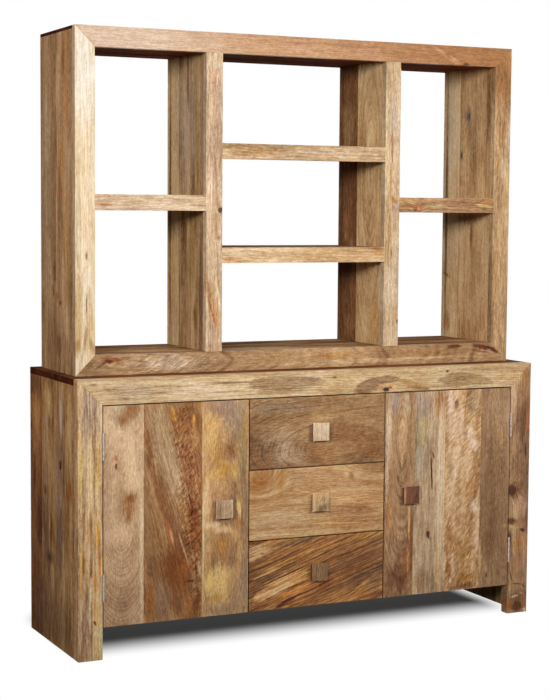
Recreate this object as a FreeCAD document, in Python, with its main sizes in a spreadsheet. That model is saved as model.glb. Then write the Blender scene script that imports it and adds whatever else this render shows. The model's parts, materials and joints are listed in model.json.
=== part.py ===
import FreeCAD, Part
import os
import re
import Sketcher

# Dresser with hutch, in millimetres
#
# X runs to the right, Y runs to the back and Z runs up. The origin is on the floor, below the middle of the
# whole dresser, its knobs included. Every length has a name in the sheet called Sizes, and every board,
# strip and fitting takes its sketch and its place from those names.

os.makedirs("parts", exist_ok=True)
doc = FreeCAD.newDocument("dresser_with_hutch")
sheet = doc.addObject("Spreadsheet::Sheet", "Sizes")


# Lengths that carry their sheet formula with them

class Length:
    """A length in millimetres, with the sheet formula that gives it."""

    def __init__(self, number, formula):
        self.number = float(number)
        self.formula = formula

    def __add__(self, other):
        other = as_length(other)
        return Length(self.number + other.number, f"({self.formula} + {other.formula})")

    def __radd__(self, other):
        return as_length(other) + self

    def __sub__(self, other):
        other = as_length(other)
        return Length(self.number - other.number, f"({self.formula} - {other.formula})")

    def __rsub__(self, other):
        return as_length(other) - self

    def __neg__(self):
        return Length(-self.number, f"(0 - {self.formula})")

    def __mul__(self, factor):
        factor = as_length(factor)
        return Length(self.number * factor.number, f"({self.formula} * {factor.formula})")

    def __rmul__(self, factor):
        return self * factor

    def __truediv__(self, divisor):
        divisor = as_length(divisor)
        return Length(self.number / divisor.number, f"({self.formula} / {divisor.formula})")


def as_length(value):
    """Read a plain number as a length, so that zero can stand in a sum."""
    if isinstance(value, Length):
        return value
    return Length(value, str(value))


rows = []


def size(name, value):
    """Write a length in the next row of the sheet under its name, and give it back under that name."""
    length = as_length(value)
    rows.append(name)
    cell = f"B{len(rows)}"
    sheet.set(f"A{len(rows)}", name)
    if isinstance(value, Length):
        sheet.set(cell, f"={length.formula}")
    else:
        sheet.set(cell, str(value))
    sheet.setAlias(cell, name)
    return Length(length.number, name)


def in_sheet(length):
    """The formula as objects outside the sheet write it."""
    return re.sub(r"[a-z][a-z_]*", lambda found: f"Sizes.{found.group(0)}", length.formula)


# Sizes of the base

base_width = size("base_width", 1450)
base_depth = size("base_depth", 424)
base_height = size("base_height", 770)
frame_width = size("frame_width", 70)
frame_thick = size("frame_thick", 33)
side_thick = size("side_thick", 18)
top_thick = size("top_thick", 18)
bottom_thick = size("bottom_thick", 18)
partition_thick = size("partition_thick", 18)
back_thick = size("back_thick", 8)
back_rebate = size("back_rebate", 9)
foot_height = size("foot_height", 90)
bottom_inset = size("bottom_inset", 2)

# Sizes of the doors and drawer fronts

front_thick = size("front_thick", 22)
front_gap = size("front_gap", 3)
stop_gap = size("stop_gap", 0.5)
front_chamfer = size("front_chamfer", 1.2)
knob_width = size("knob_width", 53)
knob_stand = size("knob_stand", 18)
knob_undercut = size("knob_undercut", 5.5)
knob_chamfer = size("knob_chamfer", 0.8)
door_knob_inset = size("door_knob_inset", 81)
left_board_a = size("left_board_a", 117)
left_board_b = size("left_board_b", 173)
right_board_a = size("right_board_a", 98)
right_board_b = size("right_board_b", 107)
right_board_c = size("right_board_c", 125)

# Sizes of the drawer boxes and their runners

drawer_side_thick = size("drawer_side_thick", 15)
drawer_side_height = size("drawer_side_height", 140)
drawer_back_space = size("drawer_back_space", 34)
drawer_rise = size("drawer_rise", 36)
drawer_play = size("drawer_play", 1.5)
drawer_back_thick = size("drawer_back_thick", 14)
drawer_base_thick = size("drawer_base_thick", 6)
drawer_base_rise = size("drawer_base_rise", 10)
drawer_base_housing = size("drawer_base_housing", 5)
runner_height = size("runner_height", 15)
runner_depth = size("runner_depth", 9)
runner_rise = size("runner_rise", 62)
runner_play = size("runner_play", 0.5)
runner_start = size("runner_start", 45)

# Sizes of the cupboard shelves and door catches

shelf_board_thick = size("shelf_board_thick", 18)
shelf_setback = size("shelf_setback", 50)
shelf_rise = size("shelf_rise", 400)
shelf_play = size("shelf_play", 0.5)
cleat_width = size("cleat_width", 16)
cleat_height = size("cleat_height", 22)
catch_width = size("catch_width", 14)
catch_height = size("catch_height", 46)
catch_length = size("catch_length", 24)
catch_drop = size("catch_drop", 60)
strike_thick = size("strike_thick", 1.5)
strike_gap = size("strike_gap", 0.3)

# Sizes of the butt hinges

hinge_length = size("hinge_length", 76)
hinge_inset = size("hinge_inset", 72)
leaf_thick = size("leaf_thick", 1.2)
leaf_width = size("leaf_width", 20)
knuckle_radius = size("knuckle_radius", 3.5)
knuckle_clear = size("knuckle_clear", 0.3)
pin_radius = size("pin_radius", 1.5)
pin_fit = size("pin_fit", 0.05)
knuckles_per_hinge = 5

# Sizes of the hutch

hutch_end_step = size("hutch_end_step", 27)
hutch_setback = size("hutch_setback", 96)
hutch_back_step = size("hutch_back_step", 24)
hutch_height = size("hutch_height", 952)
strip_width = size("strip_width", 57)
strip_thick = size("strip_thick", 22)
divider_strip_width = size("divider_strip_width", 50)
shelf_strip_height = size("shelf_strip_height", 44)
hutch_side_thick = size("hutch_side_thick", 52)
hutch_divider_thick = size("hutch_divider_thick", 40)
hutch_shelf_thick = size("hutch_shelf_thick", 31)
hutch_top_thick = size("hutch_top_thick", 53)
hutch_top_rebate = size("hutch_top_rebate", 9)
side_bay_share = size("side_bay_share", 0.2566)

# Sizes of the steel brackets behind the hutch

bracket_width = size("bracket_width", 40)
bracket_leg = size("bracket_leg", 34)
bracket_thick = size("bracket_thick", 2.5)
bracket_centre = size("bracket_centre", 500)
screw_radius = size("screw_radius", 2)
screw_length = size("screw_length", 15)
screw_head_radius = size("screw_head_radius", 4)
screw_head_height = size("screw_head_height", 2)
screw_clear = size("screw_clear", 0.3)

# Places that follow from the sizes

half_width = size("half_width", base_width / 2)
front_y = size("front_y", knob_stand - (base_depth + knob_stand) / 2)
back_y = size("back_y", front_y + base_depth)
panel_back_y = size("panel_back_y", back_y - back_thick)
frame_back_y = size("frame_back_y", front_y + frame_thick)
front_back_y = size("front_back_y", front_y + front_thick)
stop_y = size("stop_y", front_back_y + stop_gap)
leg_inner = size("leg_inner", half_width - frame_width)
side_inner = size("side_inner", half_width - side_thick)
rail_low = size("rail_low", base_height - frame_width)
top_low = size("top_low", base_height - top_thick)
bottom_low = size("bottom_low", foot_height + bottom_inset)
bottom_high = size("bottom_high", bottom_low + bottom_thick)
bay_width = size("bay_width", 2 * leg_inner / 3)
partition_centre = size("partition_centre", bay_width / 2)
partition_inner = size("partition_inner", partition_centre - partition_thick / 2)
partition_outer = size("partition_outer", partition_centre + partition_thick / 2)
drawer_pitch = size("drawer_pitch", (rail_low - foot_height) / 3)
door_edge_hinge = size("door_edge_hinge", leg_inner - front_gap)
door_edge_free = size("door_edge_free", partition_centre + front_gap / 2)
front_high = size("front_high", rail_low - front_gap)
door_middle = size("door_middle", (foot_height + front_high) / 2)
drawer_front_half = size("drawer_front_half", partition_centre - front_gap / 2)
drawer_box_half = size("drawer_box_half", partition_inner - drawer_play)
drawer_box_back_y = size("drawer_box_back_y", panel_back_y - drawer_back_space)

hutch_half = size("hutch_half", half_width - hutch_end_step)
hutch_front_y = size("hutch_front_y", front_y + hutch_setback)
hutch_board_y = size("hutch_board_y", hutch_front_y + strip_thick)
hutch_back_y = size("hutch_back_y", back_y - hutch_back_step)
hutch_board_depth = size("hutch_board_depth", hutch_back_y - hutch_board_y)
hutch_high = size("hutch_high", base_height + hutch_height)
hutch_opening = size("hutch_opening", hutch_half - strip_width)
hutch_opening_low = size("hutch_opening_low", base_height + strip_width)
hutch_opening_high = size("hutch_opening_high", hutch_high - strip_width)
hutch_side_inner = size("hutch_side_inner", hutch_half - hutch_side_thick)
hutch_top_low = size("hutch_top_low", hutch_high - hutch_top_thick)
hutch_top_shoulder = size("hutch_top_shoulder", hutch_high - hutch_top_rebate)
divider_strip_outer = size("divider_strip_outer", hutch_opening - 2 * hutch_opening * side_bay_share)
divider_strip_inner = size("divider_strip_inner", divider_strip_outer - divider_strip_width)
divider_centre = size("divider_centre", (divider_strip_inner + divider_strip_outer) / 2)
divider_inner = size("divider_inner", divider_centre - hutch_divider_thick / 2)
divider_outer = size("divider_outer", divider_centre + hutch_divider_thick / 2)
opening_height = size("opening_height", hutch_opening_high - hutch_opening_low)
centre_space = size("centre_space", (opening_height - 2 * shelf_strip_height) / 3)
side_space = size("side_space", (opening_height - shelf_strip_height) / 2)

hinge_axis_x = size("hinge_axis_x", leg_inner - front_gap / 2)
hinge_axis_y = size("hinge_axis_y", front_y - knuckle_radius - knuckle_clear)
leaf_edge = size("leaf_edge", front_gap / 2 - leaf_thick)
bore_radius = size("bore_radius", pin_radius + pin_fit)
hinge_low = size("hinge_low", foot_height + hinge_inset)
hinge_high = size("hinge_high", front_high - hinge_inset - hinge_length)
knuckle_pitch = size("knuckle_pitch", hinge_length / knuckles_per_hinge)

doc.recompute()


# Ways of making a board

PLANES = {"top": "XY_Plane", "front": "XZ_Plane", "side": "YZ_Plane"}
NORMALS = {"top": "z", "front": "y", "side": "x"}


def place(item, at):
    """Set where an object stands, by the names of the sheet."""
    numbers = [as_length(value).number for value in at]
    item.Placement = FreeCAD.Placement(FreeCAD.Vector(*numbers), FreeCAD.Rotation())
    for letter, value in zip("xyz", at):
        item.setExpression(f"Placement.Base.{letter}", in_sheet(as_length(value)))


def outline(body, view, corners, name):
    """Draw a closed outline on one of the body's own planes, each corner held by two named distances."""
    sketch = body.newObject("Sketcher::SketchObject", name)
    plane = [item for item in body.Origin.OriginFeatures if item.Role == PLANES[view]][0]
    sketch.AttachmentSupport = [(plane, "")]
    sketch.MapMode = "FlatFace"
    points = [FreeCAD.Vector(as_length(u).number, as_length(v).number, 0) for u, v in corners]
    count = len(points)
    for index in range(count):
        sketch.addGeometry(Part.LineSegment(points[index], points[(index + 1) % count]))
    for index in range(count):
        sketch.addConstraint(Sketcher.Constraint("Coincident", index, 2, (index + 1) % count, 1))
    for index, (u, v) in enumerate(corners):
        for kind, value in (("DistanceX", as_length(u)), ("DistanceY", as_length(v))):
            number = sketch.addConstraint(Sketcher.Constraint(kind, -1, 1, index, 1, value.number))
            sketch.setExpression(f"Constraints[{number}]", in_sheet(value))
    return sketch


def board(label, view, corners, thick, start):
    """A solid with one flat outline, seen from the top, the front or the side, and one thickness.

    The outline is drawn at its true place, and start is where the thickness begins."""
    body = doc.addObject("PartDesign::Body", label)
    body.Label = label
    sketch = outline(body, view, corners, f"{label}_outline")
    pad = body.newObject("PartDesign::Pad", f"{label}_pad")
    pad.Profile = sketch
    pad.setExpression("Length", in_sheet(as_length(thick)))
    pad.Reversed = view == "front"
    at = {"x": 0, "y": 0, "z": 0}
    at[NORMALS[view]] = start
    place(body, (at["x"], at["y"], at["z"]))
    sketch.Visibility = False
    doc.recompute()
    return body


def rectangle(low_u, high_u, low_v, high_v):
    """The four corners of a rectangle."""
    return [(low_u, low_v), (high_u, low_v), (high_u, high_v), (low_u, high_v)]


def span(side, near, far):
    """Two places on the left (-1) or right (1) half, the smaller one first."""
    if side < 0:
        return -far, -near
    return near, far


def chamfer_front(body, chamfer, joints=()):
    """Take a small chamfer off the edges of the face that looks to the front, but not off a glued joint."""
    doc.recompute()
    pad = body.Tip
    low = pad.Shape.BoundBox.YMin
    near = chamfer.number / 10
    names = []
    for number, edge in enumerate(pad.Shape.Edges, start=1):
        ends = [vertex.Point for vertex in edge.Vertexes]
        in_front = all(abs(end.y - low) < near for end in ends)
        glued = any(all(abs(end.x - joint.number) < near for end in ends) for joint in joints)
        if in_front and not glued:
            names.append(f"Edge{number}")
    cut = body.newObject("PartDesign::Chamfer", f"{body.Label}_chamfer")
    cut.Base = (pad, names)
    cut.setExpression("Size", in_sheet(chamfer))
    doc.recompute()
    return body


def knob(label, middle_x, middle_z):
    """A square block whose sides lean in towards the board that it sits on, for the fingertips."""
    corners = rectangle(
        middle_x - knob_width / 2,
        middle_x + knob_width / 2,
        middle_z - knob_width / 2,
        middle_z + knob_width / 2,
    )
    body = board(label, "front", corners, knob_stand, front_y - knob_stand)
    body.Tip.setExpression("TaperAngle", f"-atan({in_sheet(knob_undercut)} / {in_sheet(knob_stand)})")
    return chamfer_front(body, knob_chamfer)


def box(name, low, high):
    """A plain box between two corners."""
    item = doc.addObject("Part::Box", name)
    for side, first, last in zip(("Length", "Width", "Height"), low, high):
        item.setExpression(side, in_sheet(as_length(last) - as_length(first)))
    place(item, low)
    return item


def rod(name, foot, radius, height):
    """An upright round bar."""
    item = doc.addObject("Part::Cylinder", name)
    item.setExpression("Radius", in_sheet(radius))
    item.setExpression("Height", in_sheet(height))
    place(item, foot)
    return item


def cut_from(label, solid, tools):
    """What is left of a solid after the tools are taken from it."""
    tool = tools[0]
    if len(tools) > 1:
        tool = doc.addObject("Part::MultiFuse", f"{label}_tools")
        tool.Shapes = tools
    item = doc.addObject("Part::Cut", label)
    item.Label = label
    item.Base = solid
    item.Tool = tool
    return item


def group(label, solids):
    """Several separate solids kept under one name."""
    item = doc.addObject("Part::Compound", label)
    item.Label = label
    item.Links = solids
    return item


def mirror(name, solid):
    """The same solid on the other side of the middle plane."""
    item = doc.addObject("Part::Mirroring", name)
    item.Source = solid
    item.Normal = FreeCAD.Vector(1, 0, 0)
    return item


nodes = []
SIDES = ((-1, "left"), (1, "right"))


# Base: face frame with mitred corners

top_rail_corners = [
    (-half_width, base_height),
    (-leg_inner, rail_low),
    (leg_inner, rail_low),
    (half_width, base_height),
]
nodes.append(board("base_top_rail", "front", top_rail_corners, frame_thick, front_y))

for side, word in SIDES:
    leg_corners = [
        (side * half_width, 0),
        (side * leg_inner, 0),
        (side * leg_inner, rail_low),
        (side * half_width, base_height),
    ]
    nodes.append(board(f"base_{word}_leg", "front", leg_corners, frame_thick, front_y))


# Base: side panels, each with a rebate for the back panel

for side, word in SIDES:
    outer = side * half_width
    inner = side * side_inner
    rebate = side * (side_inner + back_rebate)
    side_corners = [
        (outer, frame_back_y),
        (inner, frame_back_y),
        (inner, panel_back_y),
        (rebate, panel_back_y),
        (rebate, back_y),
        (outer, back_y),
    ]
    nodes.append(board(f"base_{word}_side", "top", side_corners, top_low, 0))


# Base: top board, lying over the side panels behind the top rail

top_board_corners = rectangle(-half_width, half_width, frame_back_y, back_y)
top_board = board("base_top_slab", "top", top_board_corners, top_thick, top_low)


# Base: bottom board, notched around both legs

bottom_corners = [
    (-leg_inner, stop_y),
    (leg_inner, stop_y),
    (leg_inner, frame_back_y),
    (side_inner, frame_back_y),
    (side_inner, panel_back_y),
    (-side_inner, panel_back_y),
    (-side_inner, frame_back_y),
    (-leg_inner, frame_back_y),
]
nodes.append(board("base_bottom_board", "top", bottom_corners, bottom_thick, bottom_low))


# Base: partitions behind the seams between doors and drawers, notched around the top rail

partition_corners = [
    (stop_y, bottom_high),
    (panel_back_y, bottom_high),
    (panel_back_y, top_low),
    (frame_back_y, top_low),
    (frame_back_y, rail_low),
    (stop_y, rail_low),
]
for side, word in SIDES:
    start, end = span(side, partition_inner, partition_outer)
    nodes.append(board(f"base_{word}_partition", "side", partition_corners, partition_thick, start))


# Base: back panel in the rebates

back_half = side_inner + back_rebate
back_corners = rectangle(-back_half, back_half, bottom_low, top_low)
nodes.append(board("base_back_panel", "front", back_corners, back_thick, panel_back_y))


# Cupboard shelves and their cleats

shelf_top = shelf_rise + shelf_board_thick
cleats = []
for side, word in SIDES:
    start, end = span(side, partition_outer + shelf_play, side_inner - shelf_play)
    shelf_corners = rectangle(start, end, front_y + shelf_setback, panel_back_y)
    nodes.append(board(f"{word}_cupboard_shelf", "top", shelf_corners, shelf_board_thick, shelf_rise))
    for place_word, near, far in (
        ("inner", partition_outer, partition_outer + cleat_width),
        ("outer", side_inner - cleat_width, side_inner),
    ):
        low_x, high_x = span(side, near, far)
        low = (low_x, front_y + shelf_setback, shelf_rise - cleat_height)
        high = (high_x, panel_back_y, shelf_rise)
        cleats.append(box(f"{word}_{place_word}_cleat", low, high))
nodes.append(group("cupboard_shelf_cleats", cleats))


# Doors of edge-glued boards

door_boards = {
    "left": [left_board_a, left_board_b],
    "right": [right_board_a, right_board_b, right_board_c],
}
for side, word in SIDES:
    low_x, high_x = span(side, door_edge_free, door_edge_hinge)
    edges = [low_x]
    for width in door_boards[word]:
        edges.append(edges[-1] + width)
    edges.append(high_x)
    planks = []
    for number in range(len(edges) - 1):
        name = f"{word}_door_plank_{number + 1}"
        corners = rectangle(edges[number], edges[number + 1], foot_height, front_high)
        plank = board(name, "front", corners, front_thick, front_y)
        planks.append(chamfer_front(plank, front_chamfer, edges[1:-1]))
    nodes.append(group(f"{word}_door_boards", planks))

    knob_x = side * (door_edge_free + door_knob_inset)
    nodes.append(knob(f"{word}_door_knob", knob_x, door_middle))


# Drawers, the top one first

runners = []
for number in (1, 2, 3):
    name = f"drawer_{number}"
    low_z = foot_height + (3 - number) * drawer_pitch
    high_z = low_z + drawer_pitch - front_gap
    middle_z = (low_z + high_z) / 2
    front_corners = rectangle(-drawer_front_half, drawer_front_half, low_z, high_z)
    front = board(f"{name}_front", "front", front_corners, front_thick, front_y)
    nodes.append(chamfer_front(front, front_chamfer))

    # The sides have a groove outside for the runner and a groove inside for the drawer bottom
    box_low = low_z + drawer_rise
    box_high = box_low + drawer_side_height
    side_outer = drawer_box_half
    side_inside = drawer_box_half - drawer_side_thick
    slot_bottom = partition_inner - runner_depth - runner_play
    slot_low = box_low + runner_rise - runner_play
    slot_high = box_low + runner_rise + runner_height + runner_play
    slot_front = front_y + runner_start - runner_play
    base_low = box_low + drawer_base_rise
    base_high = base_low + drawer_base_thick
    housing = side_inside + drawer_base_housing
    whole = box(
        f"{name}_side_blank",
        (side_inside, front_back_y, box_low),
        (side_outer, drawer_box_back_y, box_high),
    )
    slot = box(
        f"{name}_runner_slot",
        (slot_bottom, slot_front, slot_low),
        (side_outer + runner_play, drawer_box_back_y + runner_play, slot_high),
    )
    groove = box(
        f"{name}_bottom_groove",
        (side_inside - runner_play, front_back_y - runner_play, base_low),
        (housing, drawer_box_back_y + runner_play, base_high),
    )
    right_side = cut_from(f"{name}_right_side", whole, [slot, groove])
    left_side = mirror(f"{name}_left_side", right_side)
    back_corners = rectangle(-side_inside, side_inside, base_high, box_high)
    back = board(f"{name}_back", "front", back_corners, drawer_back_thick, drawer_box_back_y - drawer_back_thick)
    nodes.append(group(f"{name}_box", [left_side, right_side, back]))

    bottom_outline = rectangle(-housing, housing, front_back_y, drawer_box_back_y)
    nodes.append(board(f"{name}_bottom", "top", bottom_outline, drawer_base_thick, base_low))

    nodes.append(knob(f"{name}_knob", 0, middle_z))

    for side, word in SIDES:
        low_x, high_x = span(side, partition_inner - runner_depth, partition_inner)
        low = (low_x, front_y + runner_start, box_low + runner_rise)
        high = (high_x, panel_back_y, box_low + runner_rise + runner_height)
        runners.append(box(f"{name}_{word}_runner", low, high))
nodes.append(group("drawer_runners", runners))


# Magnetic catches on the partitions and their strikes on the doors

catches = []
for side, word in SIDES:
    catch_high = rail_low - catch_drop
    catch_low = catch_high - catch_height
    near, far = span(side, partition_outer, partition_outer + catch_width)
    strike_back = front_back_y + strike_thick
    catch_front = strike_back + strike_gap
    catches.append(box(f"{word}_catch", (near, catch_front, catch_low), (far, catch_front + catch_length, catch_high)))
    strike = box(f"{word}_door_strike", (near, front_back_y, catch_low), (far, strike_back, catch_high))
    strike.Label = f"{word}_door_strike"
    nodes.append(strike)
nodes.append(group("door_catches", catches))


# Butt hinges: five knuckles, three on the leg's leaf and two on the door's leaf

def leaf(name, side, on_door, low_z):
    """One hinge leaf with its knuckles, standing in the gap between leg and door."""
    axis_x = side * hinge_axis_x
    own = (1, 3) if on_door else (0, 2, 4)
    direction = -side if on_door else side
    low_x, high_x = span(direction, leaf_edge, leaf_edge + leaf_thick)
    low_x = axis_x + low_x
    high_x = axis_x + high_x
    plate_y = hinge_axis_y + knuckle_radius + knuckle_clear
    solids = [box(f"{name}_plate", (low_x, plate_y, low_z), (high_x, plate_y + leaf_width, low_z + hinge_length))]
    for index in own:
        foot = low_z + index * knuckle_pitch
        head = foot + knuckle_pitch
        if index > 0:
            foot = foot + knuckle_clear / 2
        if index < knuckles_per_hinge - 1:
            head = head - knuckle_clear / 2
        solids.append(rod(f"{name}_knuckle_{index}", (axis_x, hinge_axis_y, foot), knuckle_radius, head - foot))
        tab_y = hinge_axis_y + (pin_radius + knuckle_radius) / 2
        solids.append(box(f"{name}_tab_{index}", (low_x, tab_y, foot), (high_x, plate_y + leaf_thick, head)))
    blank = doc.addObject("Part::MultiFuse", f"{name}_blank")
    blank.Shapes = solids
    bore = rod(f"{name}_bore", (axis_x, hinge_axis_y, low_z - knuckle_clear), bore_radius,
               hinge_length + 2 * knuckle_clear)
    return cut_from(name, blank, [bore])


frame_leaves = []
pins = []
for side, word in SIDES:
    door_leaves = []
    for level, low_z in (("lower", hinge_low), ("upper", hinge_high)):
        name = f"{word}_{level}"
        frame_leaves.append(leaf(f"{name}_frame_leaf", side, False, low_z))
        door_leaves.append(leaf(f"{name}_door_leaf", side, True, low_z))
        pins.append(rod(f"{name}_pin", (side * hinge_axis_x, hinge_axis_y, low_z), pin_radius, hinge_length))
    nodes.append(group(f"{word}_door_hinge_leaves", door_leaves))
nodes.append(group("frame_hinge_leaves", frame_leaves))
nodes.append(group("hinge_pins", pins))


# Hutch: mitred front frame

top_strip_corners = [
    (-hutch_half, hutch_high),
    (-hutch_opening, hutch_opening_high),
    (hutch_opening, hutch_opening_high),
    (hutch_half, hutch_high),
]
nodes.append(board("hutch_top_rail", "front", top_strip_corners, strip_thick, hutch_front_y))

bottom_strip_corners = [
    (-hutch_half, base_height),
    (hutch_half, base_height),
    (hutch_opening, hutch_opening_low),
    (-hutch_opening, hutch_opening_low),
]
nodes.append(board("hutch_bottom_rail", "front", bottom_strip_corners, strip_thick, hutch_front_y))

for side, word in SIDES:
    stile_corners = [
        (side * hutch_half, base_height),
        (side * hutch_opening, hutch_opening_low),
        (side * hutch_opening, hutch_opening_high),
        (side * hutch_half, hutch_high),
    ]
    nodes.append(board(f"hutch_{word}_stile", "front", stile_corners, strip_thick, hutch_front_y))


# Hutch: sides and top, the top's ends rebated over the sides

for side, word in SIDES:
    start, end = span(side, hutch_side_inner, hutch_half)
    side_corners = rectangle(hutch_board_y, hutch_back_y, base_height, hutch_top_shoulder)
    nodes.append(board(f"hutch_{word}_side", "side", side_corners, hutch_side_thick, start))

hutch_top_corners = [
    (-hutch_half, hutch_top_shoulder),
    (-hutch_side_inner, hutch_top_shoulder),
    (-hutch_side_inner, hutch_top_low),
    (hutch_side_inner, hutch_top_low),
    (hutch_side_inner, hutch_top_shoulder),
    (hutch_half, hutch_top_shoulder),
    (hutch_half, hutch_high),
    (-hutch_half, hutch_high),
]
nodes.append(board("hutch_top_board", "front", hutch_top_corners, hutch_board_depth, hutch_board_y))

hutch_bottom_corners = rectangle(-hutch_side_inner, hutch_side_inner, base_height, hutch_opening_low)
hutch_bottom = board("hutch_bottom_slab", "front", hutch_bottom_corners, hutch_board_depth, hutch_board_y)


# Hutch: dividers with their front strips

for side, word in SIDES:
    start, end = span(side, divider_inner, divider_outer)
    divider_corners = rectangle(hutch_board_y, hutch_back_y, hutch_opening_low, hutch_top_low)
    nodes.append(board(f"hutch_{word}_divider", "side", divider_corners, hutch_divider_thick, start))
    start, end = span(side, divider_strip_inner, divider_strip_outer)
    strip_corners = rectangle(start, end, hutch_opening_low, hutch_opening_high)
    nodes.append(board(f"hutch_{word}_divider_strip", "front", strip_corners, strip_thick, hutch_front_y))


# Hutch: shelves, each flush on top with its front strip

side_shelf_high = hutch_opening_low + side_space + shelf_strip_height
lower_shelf_high = hutch_opening_low + centre_space + shelf_strip_height
upper_shelf_high = lower_shelf_high + centre_space + shelf_strip_height
left_board = span(-1, divider_outer, hutch_side_inner)
left_strip = span(-1, divider_strip_outer, hutch_opening)
right_board = span(1, divider_outer, hutch_side_inner)
right_strip = span(1, divider_strip_outer, hutch_opening)
centre_board = (-divider_inner, divider_inner)
centre_strip = (-divider_strip_inner, divider_strip_inner)
shelves = (
    ("left", left_board, left_strip, side_shelf_high),
    ("right", right_board, right_strip, side_shelf_high),
    ("lower", centre_board, centre_strip, lower_shelf_high),
    ("upper", centre_board, centre_strip, upper_shelf_high),
)
for word, board_span, strip_span, high in shelves:
    shelf_corners = rectangle(*board_span, hutch_board_y, hutch_back_y)
    nodes.append(board(f"hutch_{word}_shelf", "top", shelf_corners, hutch_shelf_thick, high - hutch_shelf_thick))
    strip_corners = rectangle(*strip_span, high - shelf_strip_height, high)
    nodes.append(board(f"hutch_{word}_shelf_strip", "front", strip_corners, strip_thick, hutch_front_y))


# Steel brackets that hold the hutch down, with their screws and the holes for them

brackets = []
screws = []
top_holes = []
back_holes = []
screw_offset = bracket_width / 4
screw_reach = (bracket_leg + bracket_thick) / 2
hole_radius = screw_radius + screw_clear
for side, word in SIDES:
    centre_x = side * bracket_centre
    bracket_corners = [
        (hutch_back_y, base_height),
        (hutch_back_y + bracket_leg, base_height),
        (hutch_back_y + bracket_leg, base_height + bracket_thick),
        (hutch_back_y + bracket_thick, base_height + bracket_thick),
        (hutch_back_y + bracket_thick, base_height + bracket_leg),
        (hutch_back_y, base_height + bracket_leg),
    ]
    plate = board(f"{word}_bracket_plate", "side", bracket_corners, bracket_width, centre_x - bracket_width / 2)
    plate_holes = []
    for hole_word, hole_x in (("left", centre_x - screw_offset), ("right", centre_x + screw_offset)):
        name = f"{word}_bracket_{hole_word}"
        down_y = hutch_back_y + screw_reach
        down_head = base_height + bracket_thick
        shank = rod(f"{name}_down_shank", (hole_x, down_y, down_head - screw_length), screw_radius, screw_length)
        head = rod(f"{name}_down_head", (hole_x, down_y, down_head), screw_head_radius, screw_head_height)
        screw = doc.addObject("Part::MultiFuse", f"{name}_down_screw")
        screw.Shapes = [shank, head]
        screws.append(screw)
        hole = rod(f"{name}_down_hole", (hole_x, down_y, down_head - screw_length - screw_clear), hole_radius,
                   screw_length + 2 * screw_clear)
        top_holes.append(hole)
        plate_holes.append(hole)
        back_head_y = hutch_back_y + bracket_thick
        across_z = base_height + screw_reach
        turned = FreeCAD.Rotation(FreeCAD.Vector(1, 0, 0), 90)
        shank = rod(f"{name}_back_shank", (hole_x, back_head_y, across_z), screw_radius, screw_length)
        head = rod(f"{name}_back_head", (hole_x, back_head_y + screw_head_height, across_z), screw_head_radius,
                   screw_head_height)
        hole = rod(f"{name}_back_hole", (hole_x, back_head_y + screw_clear, across_z), hole_radius,
                   screw_length + 2 * screw_clear)
        for part in (shank, head, hole):
            part.Placement.Rotation = turned
        screw = doc.addObject("Part::MultiFuse", f"{name}_back_screw")
        screw.Shapes = [shank, head]
        screws.append(screw)
        back_holes.append(hole)
        plate_holes.append(hole)
    brackets.append(cut_from(f"{word}_bracket", plate, plate_holes))
nodes.append(cut_from("base_top_board", top_board, top_holes))
nodes.append(cut_from("hutch_bottom_board", hutch_bottom, back_holes))
nodes.append(group("hutch_brackets", brackets))
nodes.append(group("bracket_screws", screws))


# Every piece is sound before it is written

doc.recompute()
for item in doc.Objects:
    for word in ("Invalid", "Error"):
        if word in item.State:
            raise RuntimeError(f"{item.Label} is {word}")
for node in nodes:
    if node.Shape.isNull() or not node.Shape.isValid() or not node.Shape.Solids:
        raise RuntimeError(f"{node.Label} has no sound shape")
    node.Shape.exportStep(f"parts/{node.Label}.step")
print(len(nodes), "pieces written")
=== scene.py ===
# %% [markdown]
# # A mango wood dresser with its hutch
# The joinery is already made as a measured model: a base with two doors and three drawers,
# and an open hutch that stands on it. This lesson dresses that model. The boards get
# softened edges, the doors are laid up from single planks, and every board gets a lacquered
# mango wood of its own. All sizes are in metres unless a name says millimetres.

# %% Load the measured model
import json
from math import pi, radians

import bpy
from mathutils import Matrix, Vector

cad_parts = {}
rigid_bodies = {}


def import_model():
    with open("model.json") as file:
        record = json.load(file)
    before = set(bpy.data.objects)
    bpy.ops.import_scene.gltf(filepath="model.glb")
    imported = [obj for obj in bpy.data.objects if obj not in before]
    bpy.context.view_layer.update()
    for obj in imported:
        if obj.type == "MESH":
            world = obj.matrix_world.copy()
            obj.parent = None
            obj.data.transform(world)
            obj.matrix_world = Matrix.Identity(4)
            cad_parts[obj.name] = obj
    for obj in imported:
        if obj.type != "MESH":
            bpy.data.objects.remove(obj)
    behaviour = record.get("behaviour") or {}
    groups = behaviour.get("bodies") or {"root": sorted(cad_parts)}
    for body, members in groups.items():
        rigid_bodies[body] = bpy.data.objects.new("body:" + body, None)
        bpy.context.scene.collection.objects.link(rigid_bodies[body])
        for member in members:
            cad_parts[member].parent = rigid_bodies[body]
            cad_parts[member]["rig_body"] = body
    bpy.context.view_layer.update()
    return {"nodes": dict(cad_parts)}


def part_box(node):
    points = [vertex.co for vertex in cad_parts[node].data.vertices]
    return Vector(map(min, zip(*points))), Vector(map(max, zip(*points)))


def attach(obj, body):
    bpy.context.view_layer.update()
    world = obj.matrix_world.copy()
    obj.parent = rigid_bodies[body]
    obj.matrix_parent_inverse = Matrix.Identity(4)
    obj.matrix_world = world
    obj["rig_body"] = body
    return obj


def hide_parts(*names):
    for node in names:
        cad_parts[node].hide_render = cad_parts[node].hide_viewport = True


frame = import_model()
nodes = frame["nodes"]
MM = 0.001

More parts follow.
